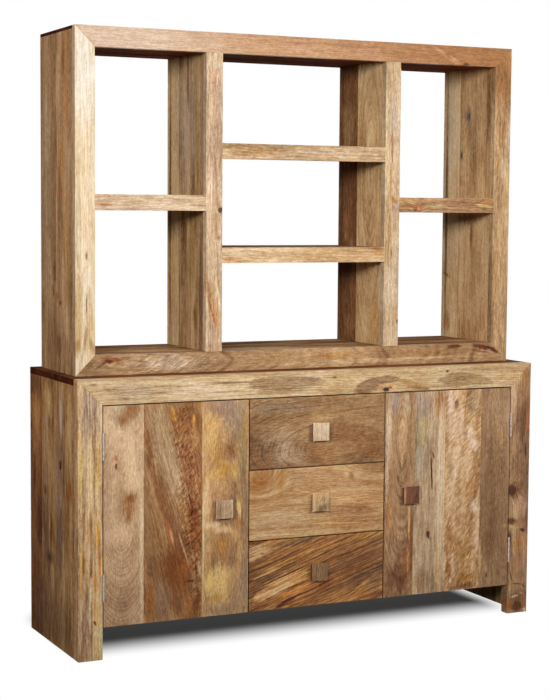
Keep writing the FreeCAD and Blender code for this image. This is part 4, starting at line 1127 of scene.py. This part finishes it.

# %% [markdown]
# ### The front of the hutch
# The hutch is made of lighter boards than the base. The left stile is nearly cream, partly
# painted sheen over tan wood, the top rail runs from a pale grey left half, which is painted
# sheen, to orange, and the bottom rail is the wild one: swirling grain with a red knot at
# the left and a dark red patch beside the right-hand mitre.

# %% Rails and stiles of the hutch
dress(
    "hutch_top_rail", "mango_wood", **LEVEL_FRONT, seed=121, heart=(-900, 1540), tilt=0.015, sway=8,
    tones=("#C49D79", "#B98E69", "#AA7F54", "#986C3F"), clouds=0.4, bands=0.3, streaks=0.3,
    lines=0.1, fibres=0.25,
    marks=(
        # the pale grey left half is painted sheen; the orange right half is the wood's own colour
        (-560, 1694, 330, 70, "#D3BCA5", 0.75, 0, 0.3, 1.2),
        (560, 1694, 420, 70, "#9C6839", 0.85, 0, 0.3, 1.2),
        (462, 1692, 46, 5, "#BF9067", 0.6, -28, 1.2), (492, 1684, 26, 4, "#CBA77F", 0.6, -28, 1.0),
        (445, 1706, 24, 4, "#C89F75", 0.8, -20), (536, 1669, 13, 5, "#40100D", 0.92, 0, 0.4),
        (120, 1705, 260, 3, "#986A39", 0.5),
    ),
)
dress(
    "hutch_bottom_rail", "mango_wood", **LEVEL_FRONT, seed=124, heart=(-560, 800), tilt=0.16,
    sway=14, tones=("#C4A277", "#AF8B62", "#95724D", "#72533C"), clouds=0.5, lines=0.3, curl=0.7,
    curl_size=(5, 36), curl_turn=-30, curl_zone=(-440, 806, 150, 40),
    marks=(
        (-420, 800, 130, 24, "#B7A189", 0.7), (-240, 806, 90, 12, "#B4946C", 0.7, -5),
        (100, 782, 330, 5, "#BCA077", 0.8), (300, 788, 300, 4, "#CEAD7F", 0.8),
        (100, 804, 70, 6, "#BA8942", 0.85, 0, 1.2), (30, 776, 40, 5, "#B2916A", 0.7),
        (430, 804, 180, 12, "#9B7145", 0.75), (-90, 800, 110, 14, "#AD8A5B", 0.6),
        (-590, 813, 34, 10, "#865028", 0.94, -6, 0.6, 0.6),
        (-600, 809, 13, 7, "#541C0D", 0.94, -14), (-622, 800, 22, 3, "#694021", 0.8, 30),
        (510, 819, 30, 6, "#5A2210", 0.95, 0, 0.6, 0.5),
        (616, 814, 40, 8, "#5E2410", 0.96, -8, 0.6, 0.5),
        (648, 806, 30, 7, "#50150D", 0.96, -24, 0.5, 0.5), (674, 796, 24, 4, "#4C1A0D", 0.94, -34),
        (600, 802, 50, 3, "#875530", 0.8, -10),
    ),
)
# left stile: its pale greyish cream tones and the near-white patch at its top are painted sheen
# over tan wood, and its darkened sides are painted shade
dress(
    "hutch_left_stile", "mango_wood", **UPRIGHT_FRONT, seed=127, heart=(-800, 1200), sway=12,
    tones=("#ECE2D6", "#E4D3B8", "#D8BF99", "#BF9D74"), clouds=0.45, bands=0.3, lines=0.15,
    fibres=0.3, flecks=0.1, gloss=0.05, ends="X", end_colour="#CBB295",
    marks=(
        (-670, 1600, 34, 180, "#E7E5DE", 0.6, 0, 0.3, 1.2), (-690, 1200, 8, 200, "#C2AC89", 0.6),
        (-688, 930, 14, 150, "#C3A370", 0.8, 0, 0.6, 1.0),
        (-656, 900, 16, 110, "#C9A973", 0.7, 0, 0.6, 1.0),
        (-666, 960, 3, 34, "#926B44", 0.85, 0, 0.4), (-668, 880, 6, 34, "#9B6D3A", 0.85, -6),
        (-672, 860, 5, 50, "#BF9D73", 0.85, -8), (-666, 1099, 3, 10, "#815333"),
        (-690, 850, 9, 26, "#A3783D", 0.8), (-650, 850, 9, 30, "#A98556", 0.7, 20),
    ),
)
dress(
    "hutch_right_stile", "mango_wood", **UPRIGHT_FRONT, seed=130, heart=(820, 1200), sway=12,
    tones=("#D6B389", "#C09D71", "#A8855B", "#866647"), clouds=0.5,
    marks=(
        (670, 1640, 60, 130, "#956431", 0.8, 0, 0.3, 1.2), (686, 1690, 14, 26, "#B27C46", 0.8),
        (662, 1480, 18, 60, "#966839", 0.7, 0, 0.6, 1.0), (690, 1440, 8, 60, "#C9B79D", 0.7),
        (676, 1360, 18, 50, "#D3BA99", 0.7), (654, 1380, 8, 34, "#B18046", 0.8),
        (676, 960, 14, 130, "#C09C72", 0.7), (654, 900, 6, 70, "#B88D64", 0.7),
        (684, 860, 12, 50, "#CFA576", 0.6, 20),
    ),
)
print("frame of the hutch made")

# %% Strips on the dividers and shelves
dress(
    "hutch_left_divider_strip", "mango_wood", **UPRIGHT_FRONT, seed=133, heart=(-180, 1200),
    sway=18, tones=("#DCC6A6", "#CEB290", "#BB9D7C", "#9D7D60"), clouds=0.5, lines=0.2, curl=0.15,
    marks=(
        (-287, 1604, 27, 9, "#D2AA87"), (-287, 1580, 26, 14, "#BD967E", 0.6),
        (-287, 1640, 26, 24, "#C1AB8D", 0.6), (-282, 1500, 4, 110, "#B79576", 0.7, 9),
        (-276, 1250, 10, 16, "#BC976F", 0.75), (-268, 1227, 8, 8, "#552E18", *KNOT, 8),
        (-282, 1190, 4, 40, "#A0764C", 0.8, 4), (-272, 1148, 8, 9, "#805C2F"),
        (-299, 985, 13, 62, "#B17C46", 0.92, 16), (-284, 930, 12, 54, "#C38F5C", 0.85, 14),
        (-296, 950, 3, 50, "#835128", 0.8, 16), (-276, 1000, 4, 70, "#E4CEA4", 0.85, 8),
        (-290, 1370, 24, 3, "#AF9378", 0.6, -30),
    ),
)
dress(
    "hutch_right_divider_strip", "mango_wood", **UPRIGHT_FRONT, seed=136, heart=(420, 1200),
    sway=18, tones=("#D8C2A2", "#CBB18E", "#BA9D78", "#9A7E5C"), clouds=0.5, lines=0.15,
    marks=(
        (283, 1500, 20, 90, "#B19C85", 0.8), (266, 1440, 5, 160, "#CEB07B", 0.7),
        (286, 1430, 3.5, 34, "#AF6C38", 0.85, 4, 0.8), (285, 1390, 3, 30, "#935B2B", 0.8, 6, 0.8),
        (282, 1320, 5, 60, "#AF7E2D", 0.92), (291, 1262, 10, 14, "#AA7628", 0.92, 30),
        (302, 1240, 12, 20, "#B19985"), (300, 1256, 9, 7, "#976939", 0.8, 20),
        (278, 1170, 7, 60, "#99763D", 0.9, 0, 1.1), (270, 1100, 9, 44, "#AD8D59", 0.85, 0, 1.1),
        (286, 1105, 5, 26, "#905F15", 0.9), (284, 1000, 26, 60, "#D8C2A4", 0.6),
        (302, 915, 7, 14, "#C28B5B", 0.9, -14), (309, 900, 6, 7, "#6E3920", 0.9, 0, 0.5),
    ),
)
# the pale greyish tones of the left shelf strip are partly painted sheen over tan wood
dress(
    "hutch_left_shelf_strip", "mango_wood", **LEVEL_FRONT, seed=139, heart=(-800, 1160), sway=12,
    tones=("#D5BDA1", "#CAAF8F", "#BC9D7C", "#A3825E"), clouds=0.5, lines=0.15,
    marks=(
        (-614, 1239, 26, 5, "#A36C35", 0.92), (-600, 1263, 3, 3, "#7A5532", 0.8),
        (-345, 1252, 26, 5, "#D7BB94", 0.8), (-340, 1240, 40, 2, "#956C44", 0.7),
    ),
)
dress(
    "hutch_right_shelf_strip", "mango_wood", **LEVEL_FRONT, seed=142, heart=(240, 1180), tilt=0.06,
    tones=("#CCAA7E", "#B69066", "#97714C", "#705030"), clouds=0.6, lines=0.4,
    marks=(
        (352, 1243, 30, 5, "#966434"), (374, 1240, 15, 12, "#985D2E", 0.94, 0, 0.6, 1.1, 8),
        (378, 1237, 5, 5, "#D2906A", 0.9), (366, 1231, 8, 3, "#672D15", 0.92),
        (392, 1250, 12, 4, "#865735", 0.85, 40), (430, 1244, 34, 7, "#C4B07F", 0.75),
        (530, 1250, 60, 10, "#906747", 0.8), (605, 1246, 34, 4, "#C2A46A", 0.9, -8),
        (620, 1260, 26, 6, "#BD8535", 0.92, 12), (590, 1257, 26, 2.5, "#5B391F", 0.9, 14),
        (600, 1237, 34, 3, "#765131", 0.85, -14),
    ),
)
dress(
    "hutch_upper_shelf_strip", "mango_wood", **LEVEL_FRONT, seed=145, heart=(-500, 1300), sway=12,
    tones=("#CCAF8B", "#BD9E79", "#A98B63", "#8D7147"), clouds=0.5, lines=0.2, curl=0.15,
    marks=(
        (-180, 1393, 90, 16, "#AC8655", 0.75), (-130, 1396, 50, 3, "#977C34", 0.8, 3),
        (-170, 1406, 60, 2.5, "#97714F", 0.7, -6), (60, 1394, 120, 14, "#CAB092", 0.7),
    ),
)
dress(
    "hutch_lower_shelf_strip", "mango_wood", **LEVEL_FRONT, seed=148, heart=(-500, 1010), sway=14,
    tilt=0.05, tones=("#DEC5A3", "#D3B48B", "#C29F72", "#A87F52"), clouds=0.5, lines=0.2,
    marks=(
        (-190, 1108, 90, 10, "#D1B897", 0.7), (-232, 1088, 34, 5, "#BC8752", 0.88),
        (-200, 1083, 40, 2.5, "#8A582D", 0.7), (236, 1116, 30, 4, "#946337", 0.9),
        (245, 1103, 22, 8, "#C39255"), (80, 1096, 120, 8, "#C59B69", 0.6),
    ),
)
print("strips made:", len([n for n in made if "strip" in n]))

# %% [markdown]
# ### The boards of the hutch
# The sides and dividers stand in the shade of the front frame. They are laid up from two
# boards each, in different tones, and a few dark strips beside the front frame and under the
# shelves are painted shade, partly over dark streaks. The top board is darker still, and
# seen from below it reads as a deep red brown.

# %% Sides, dividers, shelves, top and bottom of the hutch
INNER_TONES = ("#F7D9AB", "#E6BE8D", "#C89E70", "#A1784E")
dress(
    "hutch_left_side", "mango_boards", **UPRIGHT_SIDE, seed=151, heart=(-380, 1200), sway=14,
    tones=("#E6BB91", "#CAA076", "#AE865D", "#8A6343"), seams=((60, 0.1),), clouds=0.5, **DULL,
    marks=(
        (-30, 1560, 30, 190, "#CB955F", 0.8), (-8, 1650, 12, 70, "#B27647"),
        (-60, 1350, 18, 60, "#CBB088", 0.7), (8, 1370, 24, 80, "#CA9055"),
        (60, 1400, 16, 110, "#956B49", 0.7), (14, 1275, 18, 14, "#BE7745"),
        (84, 1260, 10, 30, "#A4734F", 0.75), (-30, 1130, 22, 160, "#D6A163", 0.7),
        (56, 1230, 4, 40, "#E5B49D", 0.7), (76, 1050, 18, 44, "#85573D", 0.85, 0, 1.0),
        (86, 1000, 12, 22, "#7A4929", 0.8, 0, 1.0), (22, 965, 14, 9, "#863F1A", 0.9),
        (50, 985, 30, 14, "#A9734D", 0.7), (40, 850, 26, 40, "#8B5D44"),
        (-40, 830, 34, 60, "#B99063", 0.6), (140, 1300, 44, 400, "#C4A784", 0.6, 0, 0.3),
    ),
)
dress(
    "hutch_right_side", "mango_boards", **UPRIGHT_SIDE, seed=154, heart=(-300, 1200), sway=14,
    tones=INNER_TONES, seams=((96, -0.35),), clouds=0.5, bands=0.35, streaks=0.35, **DULL,
    marks=(
        (174, 1250, 9, 470, "#564034", 0.8, 0, 0.2, 0.8),
        # the dark strip beside the front stile is partly a dark streak, partly painted shadow of
        # the stile
        (-68, 1560, 15, 130, "#7C5433", 0.75, 0, 0.3),
        (50, 1524, 24, 34, "#A38779", 0.75, 0, 0.6, 1.1, 14),
        (50, 1522, 13, 13, "#6F605F", 0.9, 0, 0.4), (88, 1404, 14, 24, "#977863", 0.75),
        (88, 1404, 6, 11, "#634E4A", 0.9, 0, 0.4), (20, 1420, 30, 130, "#AB865F", 0.7),
        # the wide low band at 1205, just under the shelf, is painted shade
        (24, 1150, 10, 50, "#9F623B"), (40, 1205, 90, 16, "#8E674C", 0.7),
        (165, 1025, 22, 6, "#9D5E2F", 0.85, 20), (160, 870, 18, 40, "#BB7C40", 0.75, 0, 1.0),
        (150, 1480, 26, 150, "#E8CCAC", 0.6), (140, 1100, 24, 100, "#E4C49F", 0.6),
    ),
)
dress(
    "hutch_left_divider", "mango_boards", **UPRIGHT_SIDE, seed=157, heart=(-300, 1200), sway=12,
    tones=("#DDBC8E", "#C6A074", "#A7835B", "#7C5C3C"), seams=((106, -0.45),), bands=0.55,
    streaks=0.3, lines=0.3, **DULL,
    marks=(
        (40, 1480, 100, 210, "#CBB49A", 0.6, 0, 0.4),
        # the long strip at -66 beside the front strip is partly a dark streak, partly painted
        # shadow of that strip
        (174, 1250, 9, 470, "#4D3826", 0.8, 0, 0.2, 0.8), (-66, 1450, 18, 240, "#9D8161", 0.7),
        (-24, 1500, 10, 200, "#B18948", 0.7), (40, 1600, 10, 100, "#8B6038", 0.75),
        # the dark patch at 70 just under the shelf is partly a dark streak, partly painted shade
        (10, 1130, 26, 140, "#B59056", 0.75), (70, 1160, 30, 60, "#75482C", 0.8),
        (-18, 925, 12, 50, "#7C5420"), (84, 1060, 12, 70, "#8F6030", 0.7, 0, 1.0),
        # the long strip at -62 beside the front strip is partly a dark streak, partly painted
        # shadow of that strip
        (150, 1060, 24, 110, "#D5B070", 0.75), (-62, 1000, 18, 240, "#87684A", 0.7),
    ),
)
dress(
    "hutch_right_divider", "mango_boards", **UPRIGHT_SIDE, seed=160, heart=(-8, 1330), tilt=0.2,
    sway=8, tones=("#F4ECB5", "#F2CF9B", "#C39869", "#81583C"), seams=((77, 0.55),), clouds=0.35,
    bands=0.2, streaks=0.3, lines=0.35, line_gap=14, **DULL,
    marks=(
        (174, 1250, 9, 470, "#594330", 0.8, 0, 0.2, 0.8), (84, 1560, 7, 110, "#936432"),
        (130, 1620, 44, 50, "#8F6141", 0.7), (130, 1480, 44, 80, "#AD885B", 0.7),
        (100, 1240, 22, 130, "#7C4D30", 0.75), (146, 1180, 24, 50, "#A66D4F", 0.7),
        (148, 1150, 6, 24, "#C39F4F", 0.7), (160, 1060, 60, 34, "#583522", 0.8),
        (90, 960, 10, 80, "#935A32", 0.8), (-40, 900, 40, 60, "#DFAE6B", 0.7),
        (120, 880, 30, 44, "#A6794F", 0.7),
    ),
)
for node, seed, tones in (
    ("hutch_left_shelf", 163, SHADE_TONES),
    ("hutch_right_shelf", 165, SHADE_TONES),
    ("hutch_upper_shelf", 167, SHADE_TONES),
    ("hutch_lower_shelf", 169, SHADE_TONES),
    ("hutch_bottom_board", 171, ("#DAC59A", "#C79F76", "#A57C53", "#785439")),
    ("hutch_top_board", 173, ("#B37348", "#965B38", "#7C482D", "#633522")),
):
    dress(
        node, "mango_boards", **LYING, seed=seed, heart=(-900, -400), tones=tones,
        seams=((55, 0.2),), lines=0.3, **DULL,
    )
print("boards of the hutch:", len([n for n in made if n.startswith("hutch")]))

# %% [markdown]
# ### What the doors and drawers hide
# Drawer boxes, runners and cleats are plain mango boards without the show marks, sanded
# and left with less lacquer. Their shapes stay as measured and only take a finish.

# %% Drawer boxes, runners and cleats
for number in (1, 2, 3):
    node = f"drawer_{number}_box"
    nodes[node].data.materials[0] = wood_for(
        node, face="YZ", grain="Y", seed=180 + number, heart=(-900, 100), tones=SHADE_TONES, **DULL,
    )
for node, grain, seed in (("drawer_runners", "Y", 185), ("cupboard_shelf_cleats", "Y", 187)):
    nodes[node].data.materials[0] = wood_for(
        node, face="YZ", grain=grain, seed=seed, heart=(-900, 100), tones=SHADE_TONES, **DULL,
    )
print("hidden boards finished")

# %% [markdown]
# Plywood is peeled from the log like paper from a roll, so its grain is wide and lazy. It
# is used for the drawer bottoms and the back panel, sealed but not polished.


# %% Birch plywood
LAZY_MM = (60, 420)  # across and along the grain
VENEER_MM, FIBRE_MM = 60, 5  # how fast both patterns change through the board
FINER = 14  # how many times finer the fibres are than the broad grain
SHEET_STEPS = (3.1, 1.7, 0)  # a sheet's seed times these is its own place in the noise


def plywood(name, face, grain, seed):
    """Peeled and sealed plywood: wide, soft grain and a dull sheen."""
    material = bpy.data.materials.new("sealed plywood " + name)
    tree = blank(material)
    place = face_space(tree, face)
    wide, tall = LAZY_MM if grain == face[1] else LAZY_MM[::-1]
    shift = tuple(seed * step for step in SHEET_STEPS)
    broad = add(tree, "Mapping", {0: place, 1: shift, 3: (1 / wide, 1 / tall, 1 / VENEER_MM)})
    lazy = {"Vector": broad, "Scale": 1, "Detail": 3, "Distortion": 0.6}
    ramp = add(tree, "ValToRGB", {0: add(tree, "TexNoise", lazy)})
    tint(ramp, ((0.3, "#B08E66"), (0.7, "#CDB08A")))
    fine = add(tree, "Mapping", {0: place, 1: shift, 3: (FINER / wide, FINER / tall, 1 / FIBRE_MM)})
    fibre = add(tree, "TexNoise", {"Vector": fine, "Scale": 1, "Detail": 2})
    share = add(tree, "MapRange", {0: fibre, 1: 0.35, 2: 0.65, 3: 0.35, 4: 0})
    colour = add(tree, "Mix", {0: share, 6: ramp, 7: linear("#A98460")}, **DARKER).outputs[2]
    bump = add(tree, "Bump", {"Strength": 0.2, "Distance": 0.2 * MM, "Height": fibre})
    finish = {"Base Color": colour, "Roughness": 0.62, "Specular IOR Level": 0.3, "Normal": bump}
    add(tree, "OutputMaterial", {0: add(tree, "BsdfPrincipled", finish)})
    return material


nodes["base_back_panel"].data.materials[0] = plywood("back", "XZ", "Z", 191)
for number in (1, 2, 3):
    sheet = plywood(f"bottom {number}", "XY", "X", 192 + number)
    nodes[f"drawer_{number}_bottom"].data.materials[0] = sheet
print("plywood finished")

# %% [markdown]
# ### Metal and catches
# The butt hinges are rolled steel with a bright zinc plating, which shows as a soft silver
# with faint drawing lines. The brackets and screws are the same steel. The magnetic
# catches are moulded in brown plastic with a fine texture from the mould.

# %% Zinc-plated steel and moulded plastic
CLOUD_MM = (6, 9, 6)  # the size of the clouds in the plating
DRAWN_MM = (0.6, 30, 0.6)  # the width, length and depth of a drawing line
GRIT_PER_MM = 1.4


def zinc_steel(name, light, dark, roughness):
    """Zinc-plated steel: bright grey with cloudy plating and fine drawing lines."""
    material = bpy.data.materials.new("zinc-plated steel " + name)
    tree = blank(material)
    place = face_space(tree, "XZ")
    cloudy = add(tree, "Mapping", {0: place, 3: tuple(1 / size for size in CLOUD_MM)})
    cloud = add(tree, "TexNoise", {"Vector": cloudy, "Scale": 1, "Detail": 3})
    drawn = add(tree, "Mapping", {0: place, 3: tuple(1 / size for size in DRAWN_MM)})
    line = add(tree, "TexNoise", {"Vector": drawn, "Scale": 1, "Detail": 2})
    ramp = add(tree, "ValToRGB", {0: cloud})
    tint(ramp, ((0.35, dark), (0.65, light)))
    span = {0: line, 1: 0.3, 2: 0.7, 3: roughness - 0.06, 4: roughness + 0.08}
    rough = add(tree, "MapRange", span)
    bump = add(tree, "Bump", {"Strength": 0.15, "Distance": 0.1 * MM, "Height": line})
    finish = {"Base Color": ramp, "Metallic": 1.0, "Roughness": rough, "Normal": bump}
    add(tree, "OutputMaterial", {0: add(tree, "BsdfPrincipled", finish)})
    return material


def moulded_plastic(name, code, dark):
    """Brown moulded plastic with the fine texture of its mould."""
    material = bpy.data.materials.new("moulded plastic " + name)
    tree = blank(material)
    mould = {"Vector": face_space(tree, "XZ"), "Scale": GRIT_PER_MM, "Detail": 2}
    grit = add(tree, "TexNoise", mould)
    colour = add(tree, "Mix", {0: grit, 6: linear(code), 7: linear(dark)}, **OVER).outputs[2]
    bump = add(tree, "Bump", {"Strength": 0.2, "Distance": 0.1 * MM, "Height": grit})
    finish = {"Base Color": colour, "Roughness": 0.5, "IOR": 1.5, "Normal": bump}
    add(tree, "OutputMaterial", {0: add(tree, "BsdfPrincipled", finish)})
    return material


bright = zinc_steel("hinge", "#BCAEA6", "#93867F", 0.42)
plated = zinc_steel("bracket", "#A6A49E", "#86847E", 0.46)
for finish, fittings in (
    (bright, ("frame_hinge_leaves", "left_door_hinge_leaves", "right_door_hinge_leaves")),
    (bright, ("hinge_pins",)),
    (plated, ("hutch_brackets", "bracket_screws", "left_door_strike", "right_door_strike")),
    (moulded_plastic("catch", "#4A3224", "#5C4030"), ("door_catches",)),
):
    for node in fittings:
        nodes[node].data.materials[0] = finish
print("metal and plastic finished")

# %% [markdown]
# ## Last look
# The dressed piece has to stay the size of the measured one. The last line counts the
# pieces that were made.

# %% Count the pieces made
print("pieces made:", len(made))
